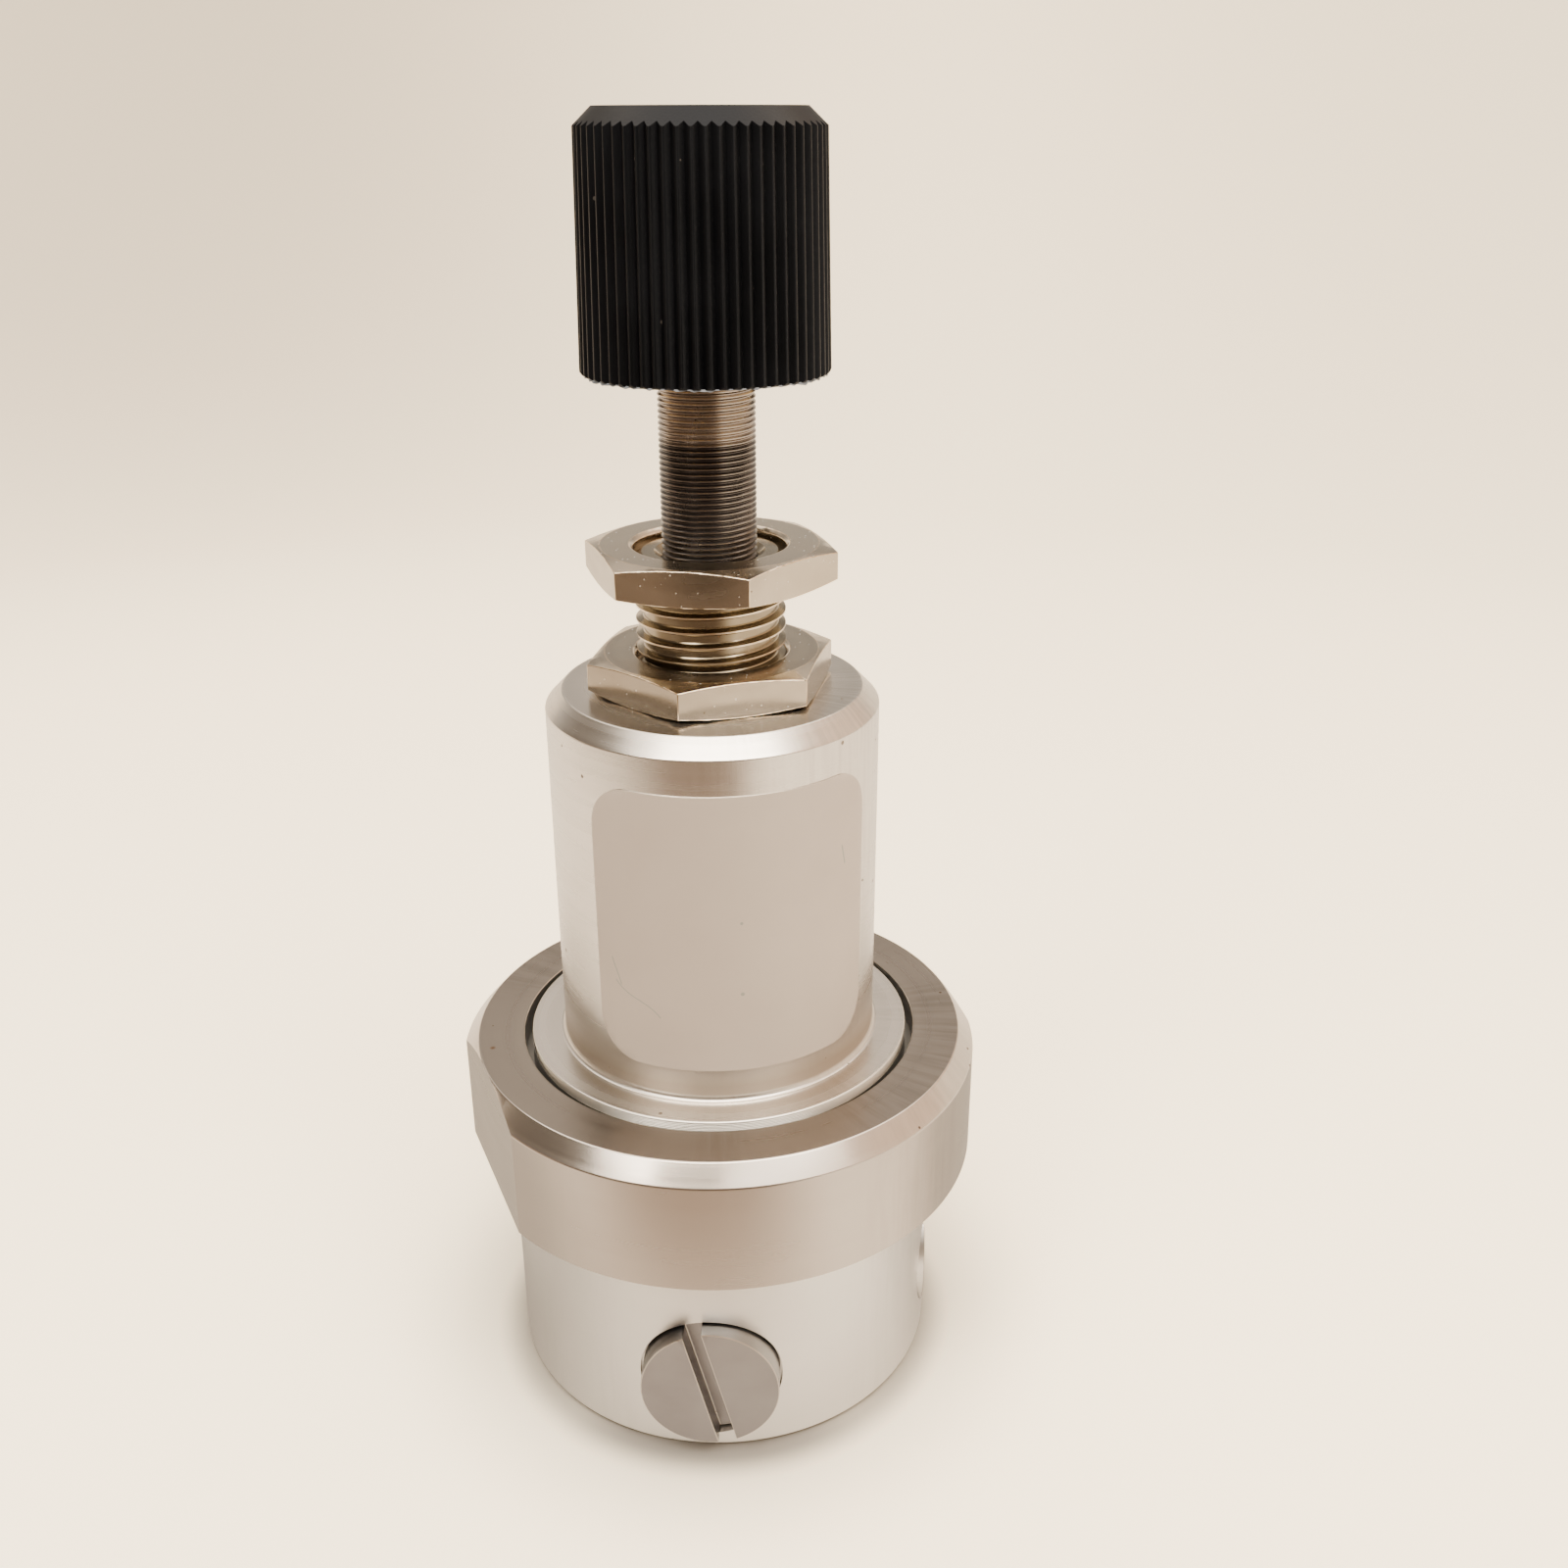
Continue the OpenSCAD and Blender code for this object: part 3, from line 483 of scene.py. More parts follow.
# The round side of the head is painted darker where it meets the body, more so on the left: painted
# shade
plug_side = metal("plug_side", (0.45, 0.45, 0.45), (0.385, 0.38, 0.38), 0.38, dirt_amount=0.02)
tree = plug_side.node_tree
x, y, _ = split(tree, place(tree))
depth = maths(tree, "MULTIPLY_ADD", x, -0.20, y)
plug_shade = ranged(tree, depth, 0, 1, -(body_r + 1.15) * mm, -(body_r - 0.35) * mm)
overlaid(plug_side, plug_shade, (0.10, 0.10, 0.105))

slot_w, slot_depth, plug_r, plug_head_l, plug_l = 1.8, 2.2, 6.8, 3.0, 10.2
shank_r, lead_in = port_r - 0.03, 0.6


def port_plug(name, node, bearing, proud, lean, wall):
    """A plug along +Z with its driver slot, then laid outwards.  wall is the material of its round
    side, with painted shade on the front plug.
    """
    face = body_r + proud
    tip, neck = face - plug_l, face - plug_head_l
    piece = turned(name, [(0, tip), (shank_r - lead_in, tip), (shank_r, tip + lead_in),
                          (shank_r, neck), (plug_r, neck), (plug_r, face), (0, face)], 144)
    deselect()
    bpy.ops.mesh.primitive_cube_add(size=mm)
    tool = bpy.context.object
    tool.scale = (slot_w, 4 * plug_r, 2 * slot_depth)
    tool.rotation_euler = (0, 0, math.radians(lean))
    tool.location = (0, 0, face * mm)
    bpy.ops.object.transform_apply(location=True, rotation=True, scale=True)
    cut(piece, tool)
    for material in (plug_steel, wall, wear_and_highlight_steel):
        piece.data.materials.append(material)
    break_edges(piece, 0.1, worn_and_lit=2)
    for polygon in piece.data.polygons:
        if abs(polygon.normal.z) < 0.3 and polygon.center.xy.length > (plug_r - 0.2) * mm:
            polygon.material_index = 1
    finish(piece, "housing", "plug_steel", plug_steel, wall, wear_and_highlight_steel)
    point_outwards(piece, bearing, port_z)
    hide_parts(node)


port_plug("front_plug", "front_port_plug", 0, front_proud, 14.1, plug_side)
port_plug("side_plug", "side_port_plug", 90, -side_sunk, 35, satin_aluminium)


# ---------------------------------------------------------------------------
# Bonnet: a turned aluminium tube with a closed top.  Its foot is a flange that
# the clamp ring holds, and the step of the flange shows inside the ring.

def arc(centre, radius, start, end, points=6):
    """Points on a round corner, from one angle to another, in degrees."""
    angles = [math.radians(start + (end - start) * i / points) for i in range(points + 1)]
    return [(centre[0] + radius * math.cos(a), centre[1] + radius * math.sin(a)) for a in angles]


bonnet_lo, bonnet_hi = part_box("bonnet")
bonnet_z, bonnet_top, flange_r = bonnet_lo.z / mm, bonnet_hi.z / mm, bonnet_hi.x / mm
tube_r, bore_r, roof_z = 15.875, 13.4, bonnet_top - 8.27
flange_top, step_top, step_r = bonnet_z + 2.5, bonnet_z + 5.68, flange_r - 1.91
step_round, foot_fillet = 0.2, 0.5
chamfer_w, chamfer_h = 1.645, 1.7
bell_r, bell_z = 17.0, bonnet_z + 1.7
stem_hole_r, breather_r, breather_z, breather_chamfer = 7.02, 1.0, bonnet_z + 14, 0.2

turned_aluminium = metal("turned_aluminium", (0.78, 0.745, 0.70), (0.73, 0.695, 0.65), 0.26,
                         marks=6000, mark_depth=0.0000001, grain_depth=0.0000025,
                         dirt=(0.30, 0.26, 0.22), dirt_amount=0.03, rough_spread=0.04, rays=0.07)
# The foot of the tube is painted brown and rougher: painted shade where the tube meets the flange
tree = turned_aluminium.node_tree
height = split(tree, place(tree))[2]
above = ranged(tree, height, 0, 1, (step_top + 0.45) * mm, (step_top + 0.7) * mm)
below = ranged(tree, height, 1, 0, (step_top + 1.6) * mm, (step_top + 5.5) * mm)
overlaid(turned_aluminium, maths(tree, "MULTIPLY", above, below), (0.40, 0.35, 0.295), 0.2)

bonnet_shell = turned("bonnet_shell", [
    (bell_r, bonnet_z), (flange_r, bonnet_z), (flange_r, flange_top), (step_r, flange_top)]
    + arc((step_r - step_round, step_top - step_round), step_round, 0, 90)
    + arc((tube_r + foot_fillet, step_top + foot_fillet), foot_fillet, -90, -180)
    + [(tube_r, bonnet_top - chamfer_h), (tube_r - chamfer_w, bonnet_top),
       (stem_hole_r, bonnet_top), (stem_hole_r, roof_z), (bore_r, roof_z),
       (bore_r, bell_z + bell_r - bore_r), (bell_r, bell_z), (bell_r, bonnet_z)], 288)
break_edges(bonnet_shell, 0.1, angle=30)
bored(bonnet_shell, 180, breather_z,
      [(0, bore_r - 2), (breather_r, bore_r - 2), (breather_r, tube_r - breather_chamfer),
       (breather_r + breather_chamfer + 1, tube_r + 1), (0, tube_r + 1)])
# Coarse tool rings on the wall of the step scatter the light up and down, and its metal is painted
# lighter than the tube's, a painted highlight
step_wall = metal("step_wall", (0.92, 0.90, 0.85), (0.88, 0.86, 0.81), 0.32, dirt_amount=0.0)
rings, ring_pitch, ring_sink, ring_nose, rings_top = 6, 0.16, 0.10, 0.0924, step_top - 0.12
grooves = [(step_r + 1, rings_top - rings * ring_pitch)]
for i in range(rings):
    middle = rings_top - (rings - i - 0.5) * ring_pitch
    grooves += arc((step_r - ring_sink, middle), ring_nose, -60, 60)
cut(bonnet_shell, turned("tool", grooves + [(step_r + 1, rings_top), grooves[0]], 288))
smooth(bonnet_shell)
finish(bonnet_shell, "housing", "bonnet_aluminium", turned_aluminium, step_wall, gap_shade)
# The gap inside the ring is painted dark as painted shade, and only the top of the step's wall
# takes the lighter step metal, a painted highlight
highlight_h = 1.1
for face in bonnet_shell.data.polygons:
    r, z = face.center.xy.length / mm, face.center.z / mm
    if abs(r - step_r + 0.05) < 0.055 and z > flange_top:
        face.material_index = 1 if z > step_top - highlight_h else 2
    elif r > step_r and z > flange_top - 0.2:
        face.material_index = 2
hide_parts("bonnet")


# ---------------------------------------------------------------------------
# Label: a blank self-adhesive film with round corners, wrapped round the front
# of the bonnet.  Its edges are painted bright, a painted highlight, and it carries a few hair
# scuffs.

label_lo, label_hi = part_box("label_plate")
label_w, label_h, label_corner, label_t, label_bearing = 28.6, 28.1, 4.3, 0.1, 11.3
label_r = tube_r + 0.02
label_mid = (label_lo.z + label_hi.z) / 2 / mm

deselect()
bpy.ops.mesh.primitive_plane_add(size=mm)
label = named("label")
label.scale = (label_w, label_h, 1)
bpy.ops.object.transform_apply(scale=True)
bpy.ops.object.mode_set(mode="EDIT")
bpy.ops.mesh.select_all(action="SELECT")
bpy.ops.mesh.bevel(affect="VERTICES", offset=label_corner * mm, segments=12)
for strips, size, axis in ((64, label_w, (1, 0, 0)), (24, label_h, (0, 1, 0))):
    for i in range(1, strips):
        at = (i / strips - 0.5) * size * mm
        sawn([at * share for share in axis], axis)
bpy.ops.object.mode_set(mode="OBJECT")
for vertex in label.data.vertices:
    turn = vertex.co.x / (tube_r * mm) + math.radians(label_bearing)
    vertex.co = Vector((label_r * mm * math.sin(turn), -label_r * mm * math.cos(turn),
                        label_mid * mm + vertex.co.y))
thick = label.modifiers.new("thickness", "SOLIDIFY")
thick.thickness = label_t * mm
thick.offset = 1
apply_all(label)
label_edge_highlight = metal("label_edge_highlight", (0.90, 0.87, 0.82), (0.84, 0.80, 0.75), 0.35, dirt_amount=0.0)


def scuff(tree, turn, centre, size, wobble):
    """A mask for one hair-thin curved scratch, on a plane turned about its middle."""
    mapping = tree.nodes.new("ShaderNodeMapping")
    mapping.vector_type = "TEXTURE"
    mapping.inputs["Location"].default_value = centre
    mapping.inputs["Rotation"].default_value = (0, turn, 0)
    tree.links.new(place(tree), mapping.inputs["Vector"])
    along, _, across = split(tree, mapping.outputs["Vector"])
    wave = maths(tree, "SINE", maths(tree, "MULTIPLY", along, 900.0))
    line = maths(tree, "MULTIPLY", wave, wobble)
    off = maths(tree, "ABSOLUTE", maths(tree, "SUBTRACT", across, line))
    return maths(tree, "MULTIPLY", maths(tree, "LESS_THAN", off, 0.05 * mm),
                 maths(tree, "LESS_THAN", maths(tree, "ABSOLUTE", along), size))


label_film, tree, shader = dressing("label_film")
shader.inputs["Specular IOR Level"].default_value = 0.55
cloud = use(tree, cloud_group, Scale=140.0)["Cloud"]
film = mixed(tree, ranged(tree, cloud, 0, 1, 0.3, 0.7),
             (0.53, 0.465, 0.40), (0.50, 0.435, 0.375))
marks = use(tree, speck_group, Amount=0.012)["Mask"]
for scratch in ((0.72, (-0.0065, -0.015, 0.0475), 0.0026, 0.00035),
                (1.35, (-0.0085, -0.015, 0.0500), 0.0014, 0.00012),
                (1.5, (0.0125, -0.010, 0.0605), 0.0010, 0.00008)):
    marks = maths(tree, "MAXIMUM", marks, scuff(tree, *scratch))
tree.links.new(mixed(tree, marks, film, (0.30, 0.31, 0.27)), shader.inputs["Base Color"])
tree.links.new(ranged(tree, cloud, 0.34, 0.46, 0.3, 0.7), shader.inputs["Roughness"])
ripple = use(tree, cloud_group, Scale=2600.0)["Cloud"]
embossed(tree, shader, maths(tree, "MULTIPLY", ripple, 0.000006))
finish(label, "housing", "label_film", label_film, label_edge_highlight)
# The film's edges take the bright edge metal: a painted highlight
for polygon in label.data.polygons:
    outwards = Vector((polygon.center.x, polygon.center.y, 0)).normalized()
    if abs(polygon.normal.dot(outwards)) < 0.5:
        polygon.material_index = 1
break_edges(label, 0.03, 2, 40)
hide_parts("label_plate")


# ---------------------------------------------------------------------------
# Clamp ring: a steel collar screwed down over the body and the bonnet's
# flange, with a wide chamfer and two flats for a wrench.

ring_lo, ring_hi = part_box("clamp_ring")
ring_r, ring_z, ring_top, lip_r = 26.36, ring_lo.z / mm, ring_hi.z / mm, 20.1
ring_in, flat_cut, flat_bearing = body_r + 0.03, 1.61, -64.8
ring_chamfer_w, ring_chamfer_h = 1.61, 1.85

turned_steel = metal("turned_steel", (0.56, 0.515, 0.475), (0.52, 0.475, 0.435), 0.24,
                     marks=7000, mark_depth=0.0000008, grain_depth=0.000002,
                     dirt=(0.16, 0.12, 0.09), dirt_amount=0.03, rough_spread=0.05, rays=0.04)
# The chamfer's steel is lighter and smoother than the wall's: a painted highlight
chamfer_steel = metal("chamfer_steel", (0.72, 0.67, 0.62), (0.67, 0.62, 0.57), 0.20,
                      marks=7000, mark_depth=0.0000008, dirt=(0.16, 0.12, 0.09), dirt_amount=0.02,
                      rough_spread=0.04, rays=0.05)


def away_from(tree, point):
    """How far a point of the surface lies from a given one, in metres."""
    distance = tree.nodes.new("ShaderNodeVectorMath")
    distance.operation = "DISTANCE"
    tree.links.new(place(tree), distance.inputs[0])
    distance.inputs[1].default_value = point
    return distance.outputs["Value"]


# The top face's steel is darker than the wall's: painted shade
faced_steel = metal("faced_steel", (0.325, 0.29, 0.26), (0.285, 0.255, 0.23), 0.30,
                    marks=7000, mark_depth=0.0000003, grain_depth=0.000001,
                    dirt=(0.10, 0.075, 0.055), dirt_amount=0.05, rough_spread=0.04, rays=0.14)
# One spot of rust by the left edge
tree = faced_steel.node_tree
spot = away_from(tree, (-0.0225, -0.0066, ring_top * mm))
rust = ranged(tree, spot, 0.8, 0, 0.1 * mm, 0.35 * mm)
overlaid(faced_steel, rust, (0.16, 0.075, 0.03))

collar = turned("collar", [
    (ring_in, ring_z), (ring_r, ring_z), (ring_r, ring_top - ring_chamfer_h),
    (ring_r - ring_chamfer_w, ring_top), (lip_r, ring_top), (lip_r, flange_top),
    (ring_in, flange_top), (ring_in, ring_z)], 288)
break_edges(collar, 0.14, 3)
bpy.ops.object.mode_set(mode="EDIT")
for bearing in (flat_bearing, flat_bearing + 180):
    turn = math.radians(bearing)
    out = Vector((math.sin(turn), -math.cos(turn), 0))
    sawn(out * (ring_r - flat_cut) * mm, out, use_fill=True, clear_outer=True)
weld()
bpy.ops.object.mode_set(mode="OBJECT")
smooth(collar, 16)
finish(collar, "housing", "ring_steel", turned_steel, faced_steel, chamfer_steel, gap_shade)
# Painted shade on the top face, a painted highlight on the chamfer, and the gap's painted shade on
# the lip's inner wall
for face in collar.data.polygons:
    if face.normal.z > 0.4:
        face.material_index = 1 if face.normal.z > 0.95 else 2
    elif face.center.xy.length < (lip_r + 0.1) * mm:
        face.material_index = 3
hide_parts("clamp_ring")


# ---------------------------------------------------------------------------
# Stem: the nickel-plated brass bushing that carries the panel nuts.  Its
# thread is coarse, with rounded crests, and its top is countersunk.

stem_lo, stem_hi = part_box("stem_bushing")
stem_r, stem_z, stem_top, screw_r = 6.99, stem_lo.z / mm, stem_hi.z / mm, 4.365
stem_pitch, stem_thread = 1.411, 0.72
shoulder_r, shoulder_t, stem_chamfer = 9.0, 2.0, 0.7
stem_bore, stem_foot = screw_r + 0.05, stem_z + shoulder_t

plated_brass = metal("plated_brass", (0.60, 0.54, 0.445), (0.545, 0.485, 0.395), 0.20,
                     marks=5000, mark_depth=0.0000003, dirt=(0.16, 0.11, 0.07), dirt_amount=0.035,
                     rough_spread=0.05, cloud_scale=220, glints=0.3)
# The lower nut is painted darker in front of the stem, and the upper nut at its front edge: painted
# shade
tree = plated_brass.node_tree
x, y, z = split(tree, place(tree))
close = ranged(tree, from_axis(tree, x, y), 0.85, 0, (stem_r + 0.3) * mm, (stem_r + 3.0) * mm)
low = maths(tree, "LESS_THAN", z, (bonnet_top + 4) * mm)
front = ranged(tree, y, 1, 0, -8 * mm, -3 * mm)
lower_nut_shade = maths(tree, "MULTIPLY", maths(tree, "MULTIPLY", close, low), front)
spot = away_from(tree, (0.0006, -0.0088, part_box("upper_panel_nut")[1].z))
upper_nut_shade = ranged(tree, spot, 0.78, 0, 0.0014, 0.0052)
overlaid(plated_brass, maths(tree, "MAXIMUM", lower_nut_shade, upper_nut_shade), (0.09, 0.072, 0.052), 0.14)
stem_brass = metal("stem_brass", (0.33, 0.285, 0.21), (0.27, 0.23, 0.165), 0.18,
                   marks=5000, dirt=(0.20, 0.13, 0.08), dirt_amount=0.05, rough_spread=0.05,
                   cloud_scale=400)
wear_and_highlight_brass = metal("wear_and_highlight_brass", (0.86, 0.76, 0.61), (0.66, 0.53, 0.38), 0.20, dirt_amount=0.1,
                   cloud_scale=1500)

flat_root = [(1, -0.5), (1, -0.28), (0.9, -0.2), (0.12, -0.085), (0, -0.055),
             (0, 0.055), (0.12, 0.085), (0.9, 0.2), (1, 0.28), (1, 0.5)]
stem = threaded("stem", stem_r, stem_thread, stem_pitch, stem_foot, stem_top, 120, flat_root)
blank = turned("tool", [
    (stem_bore, stem_foot - 1), (stem_r + 1, stem_foot - 1),
    (stem_r + 1, stem_top - stem_chamfer - 1), (stem_r - stem_chamfer, stem_top),
    (stem_bore + 0.7, stem_top), (stem_bore, stem_top - 0.7), (stem_bore, stem_foot - 1)], 144)
cut(stem, blank, "INTERSECT")
smooth(stem, 24)
finish(stem, "housing", "nickel_brass", stem_brass, wear_and_highlight_brass)
# The thread's crests take the bright brass: a painted highlight
for face in stem.data.polygons:
    if abs(face.center.xy.length / mm - stem_r) < 0.06 and abs(face.normal.z) < 0.6:
        face.material_index = 1
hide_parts("stem_bushing")
shoulder = turned("stem_shoulder", [
    (stem_bore, stem_z), (shoulder_r, stem_z), (shoulder_r, stem_foot), (stem_bore, stem_foot),
    (stem_bore, stem_z)], 96)
break_edges(shoulder, 0.15)
finish(shoulder, "housing", "nickel_brass", plated_brass)


# ---------------------------------------------------------------------------
# Panel nuts: two thin hexagon nuts of the same plated brass, one against the
# bonnet and one above the panel.  Their edges are nicked by a wrench, and painted bright: wear and
# a painted highlight.

nut_af, nut_t, nut_drop = 20.73, 3.4, 0.46
nut_corner = nut_af / 2 / math.cos(math.radians(30))
nut_face = nut_af / 2 - 0.3
nut_apex = nut_face + (nut_corner - nut_face) * nut_t / 2 / nut_drop
nut_bore, countersink = stem_r + 0.03, 0.35
nut_mouth = nut_bore + countersink


def nicked(piece, slot_index, depth, seed):
    """Pushes the points of the edges that carry wear and a painted highlight about a little, as
    knocks do.
    """
    chance = random.Random(seed)
    worn_and_lit, kept = set(), set()
    for face in piece.data.polygons:
        (worn_and_lit if face.material_index == slot_index else kept).update(face.vertices)
    for index in sorted(worn_and_lit - kept):
        vertex = piece.data.vertices[index]
        vertex.co += Vector([chance.uniform(-1, 1) for _ in range(3)]) * depth * mm
    smooth(piece)


def panel_nut(name, node, body, turn, seed):
    """A hexagon blank, chamfered and bored, with its corners turned to an angle."""
    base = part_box(node)[0].z / mm
    top = base + nut_t
    deselect()
    bpy.ops.mesh.primitive_cylinder_add(vertices=6, radius=nut_corner * mm, depth=nut_t * mm)
    piece = named(name)
    piece.rotation_euler = (0, 0, math.radians(turn))
    piece.location = (0, 0, (base + nut_t / 2) * mm)
    bpy.ops.object.transform_apply(location=True, rotation=True)
    blank = turned("tool", [
        (nut_mouth, base), (nut_face, base), (nut_apex, base + nut_t / 2), (nut_face, top),
        (nut_mouth, top), (nut_bore, top - countersink), (nut_bore, base + countersink),
        (nut_mouth, base)], 180)
    cut(piece, blank, "INTERSECT")
    piece.data.materials.append(plated_brass)
    piece.data.materials.append(wear_and_highlight_brass)
    break_edges(piece, 0.08, 3, 12, worn_and_lit=1)
    nicked(piece, 1, 0.009, seed)
    finish(piece, body, "nickel_brass", plated_brass, wear_and_highlight_brass)
    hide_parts(node)


panel_nut("nut_below", "lower_panel_nut", "housing", -10.7, 3)
panel_nut("nut_above", "upper_panel_nut", "panel_nut", 20.3, 7)


# ---------------------------------------------------------------------------
# Adjusting screw: a bronze rod with a very fine thread, darker and oily where
# it works in the stem and cleaner below the knob.

screw_lo, screw_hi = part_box("adjusting_screw")
screw_pitch, screw_thread, tip_chamfer = 0.508, 0.21, 0.3
screw_z, screw_top = screw_lo.z / mm, screw_hi.z / mm
knob_lo, knob_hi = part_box("knob")
knob_z, knob_top = knob_lo.z / mm, knob_hi.z / mm

screw_bronze, tree, shader = dressing("screw_bronze")
shader.inputs["Metallic"].default_value = 1.0
x, y, z = split(tree, place(tree))
clean = ranged(tree, z, 0, 1, (stem_top + 9.9) * mm, (stem_top + 10.7) * mm)
oily = use(tree, cloud_group, Scale=420.0)["Cloud"]
clean = maths(tree, "ADD", clean, ranged(tree, oily, -0.04, 0.04, 0.3, 0.7), clamp=True)
tone = mixed(tree, clean, (0.105, 0.095, 0.092), (0.41, 0.365, 0.33))
dots = use(tree, speck_group, Amount=0.01, Scale=1500.0)["Mask"]
# The crests are painted lighter
lighter_crests = ranged(tree, from_axis(tree, x, y), 0, 0.35,
                (screw_r - 0.03) * mm, (screw_r - 0.005) * mm)
tone = mixed(tree, lighter_crests, tone, (0.42, 0.375, 0.33))
tree.links.new(mixed(tree, dots, tone, (0.06, 0.04, 0.03)), shader.inputs["Base Color"])
tree.links.new(ranged(tree, oily, 0.22, 0.28, 0.3, 0.7), shader.inputs["Roughness"])

fine_tooth = [(1, -0.5), (1, -0.45), (0, -0.1), (0, 0.1), (1, 0.45), (1, 0.5)]
screw = threaded("screw", screw_r, screw_thread, screw_pitch, screw_z, screw_top,
                 tooth=fine_tooth)
blank = turned("tool", [
    (0, screw_z - 1), (screw_r - tip_chamfer - 0.2, screw_z - 0.2),
    (screw_r + 1, screw_z + tip_chamfer + 1), (screw_r + 1, screw_top + 1), (0, screw_top + 1)], 96)
cut(screw, blank, "INTERSECT")
smooth(screw, 20)
finish(screw, "adjuster", "screw_bronze", screw_bronze)
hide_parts("adjusting_screw")


# ---------------------------------------------------------------------------
# Knob: a black moulded grip with sixty drafted vee flutes, a plain chamfer
# round its flat top, and a brass insert that a set screw pins to the screw.

knob_h, knob_foot_r, knob_neck_r, knob_face_r = knob_top - knob_z, 11.05, 10.625, 9.0
knob_chamfer_h, knob_round, flutes, flute_depth = 1.52, 0.35, 60, 0.42
recess_r, recess_depth, insert_r, pocket = 8.8, 0.9, 6.5, 15.9
set_r, set_z = 1.6, knob_z + 5

black_nylon, tree, shader = dressing("black_nylon")
shader.inputs["Specular IOR Level"].default_value = 0.18
shader.inputs["Specular Tint"].default_value = (0.72, 0.81, 1.0, 1)
cloud = use(tree, cloud_group, Scale=160.0)["Cloud"]
lint = use(tree, speck_group, Scale=1100.0, Amount=0.035)["Mask"]
tone = mixed(tree, ranged(tree, cloud, 0, 1, 0.35, 0.65),
             (0.0017, 0.0019, 0.0024), (0.0028, 0.0031, 0.0038))
# The crests of the flutes are painted grey: a painted highlight
x, y, z = split(tree, place(tree))
taper = (knob_foot_r - knob_neck_r) / (knob_h - knob_chamfer_h)
crest = maths(tree, "MULTIPLY_ADD", z, -taper, (knob_foot_r + taper * knob_z) * mm)
lighter_crests = ranged(tree, maths(tree, "SUBTRACT", from_axis(tree, x, y), crest), 0, 0.8,
                -0.018 * mm, -0.004 * mm)
tone = mixed(tree, lighter_crests, tone, (0.022, 0.023, 0.026))
tree.links.new(mixed(tree, lint, tone, (0.06, 0.055, 0.05)), shader.inputs["Base Color"])
tree.links.new(ranged(tree, cloud, 0.34, 0.46, 0.3, 0.7), shader.inputs["Roughness"])
grain = use(tree, cloud_group, Scale=5200.0)["Cloud"]
embossed(tree, shader, maths(tree, "MULTIPLY", grain, 0.00001))

flank = (0.0, 0.04, 0.26, 0.52, 0.78)
flute = flank + (1.0,) + flank[:0:-1]
steps = flutes * len(flute)
deselect()
bpy.ops.mesh.primitive_circle_add(vertices=steps, radius=knob_foot_r * mm, fill_type="NGON")
knob = named("grip")
for vertex in knob.data.vertices:
    turn = math.atan2(vertex.co.y, vertex.co.x)
    share = flute[round(turn / (2 * math.pi) * steps) % len(flute)]
    vertex.co *= 1 - share * flute_depth / knob_foot_r
bpy.ops.object.mode_set(mode="EDIT")
bpy.ops.mesh.select_all(action="SELECT")
bpy.ops.transform.translate(value=(0, 0, (knob_z - 0.5) * mm))
bpy.ops.mesh.extrude_region_move(TRANSFORM_OT_translate={"value": (0, 0, (knob_h + 1) * mm)})
draft = 1 - taper * (knob_h + 1) / knob_foot_r
bpy.ops.transform.resize(value=(draft, draft, 1), center_override=(0, 0, 0))
bpy.ops.mesh.select_all(action="SELECT")
bpy.ops.mesh.normals_make_consistent(inside=False)
bpy.ops.object.mode_set(mode="OBJECT")
slope = knob_chamfer_h / (knob_neck_r - knob_face_r)
wide_r = knob_foot_r + 0.4
blank = turned("tool", [
    (0, knob_z + pocket), (insert_r, knob_z + pocket), (insert_r, knob_z + recess_depth),
    (recess_r, knob_z + recess_depth), (recess_r, knob_z)]
    + arc((knob_foot_r - knob_round, knob_z + knob_round), knob_round, -90, -10)
    + [(wide_r, knob_z + knob_round + 0.1), (wide_r, knob_top - (wide_r - knob_face_r) * slope),
       (knob_face_r, knob_top), (0, knob_top)], 240)
cut(knob, blank, "INTERSECT")
set_hole_r = set_r + 0.6
bored(knob, 180, set_z, [(0, insert_r - 1), (set_hole_r, insert_r - 1),
                         (set_hole_r, knob_foot_r + 1), (0, knob_foot_r + 1)])
smooth(knob, 32)
finish(knob, "adjuster", "knob_black", black_nylon)
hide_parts("knob")


# ---------------------------------------------------------------------------
# Mould flash: a ragged, half-clear skin of plastic left round the foot of the
# knob where the two mould halves met.

flash_plastic, tree, shader = dressing("flash_plastic")
milk = use(tree, cloud_group, Scale=900.0)["Cloud"]
tree.links.new(mixed(tree, milk, (0.07, 0.085, 0.11), (0.26, 0.29, 0.34)),
               shader.inputs["Base Color"])
shader.inputs["Roughness"].default_value = 0.45

flash_r, flash_h, flash_reach, flash_t = knob_foot_r - 0.30, 0.06, 0.12, 0.03
deselect()
bpy.ops.mesh.primitive_circle_add(vertices=360, radius=flash_r * mm, fill_type="NOTHING")
flash = named("mould_flash")
bpy.ops.object.mode_set(mode="EDIT")
bpy.ops.mesh.select_all(action="SELECT")
bpy.ops.transform.translate(value=(0, 0, (knob_z + flash_h) * mm))
bpy.ops.mesh.extrude_region_move(TRANSFORM_OT_translate={"value": (0, 0, -flash_h * mm)})
bpy.ops.object.mode_set(mode="OBJECT")
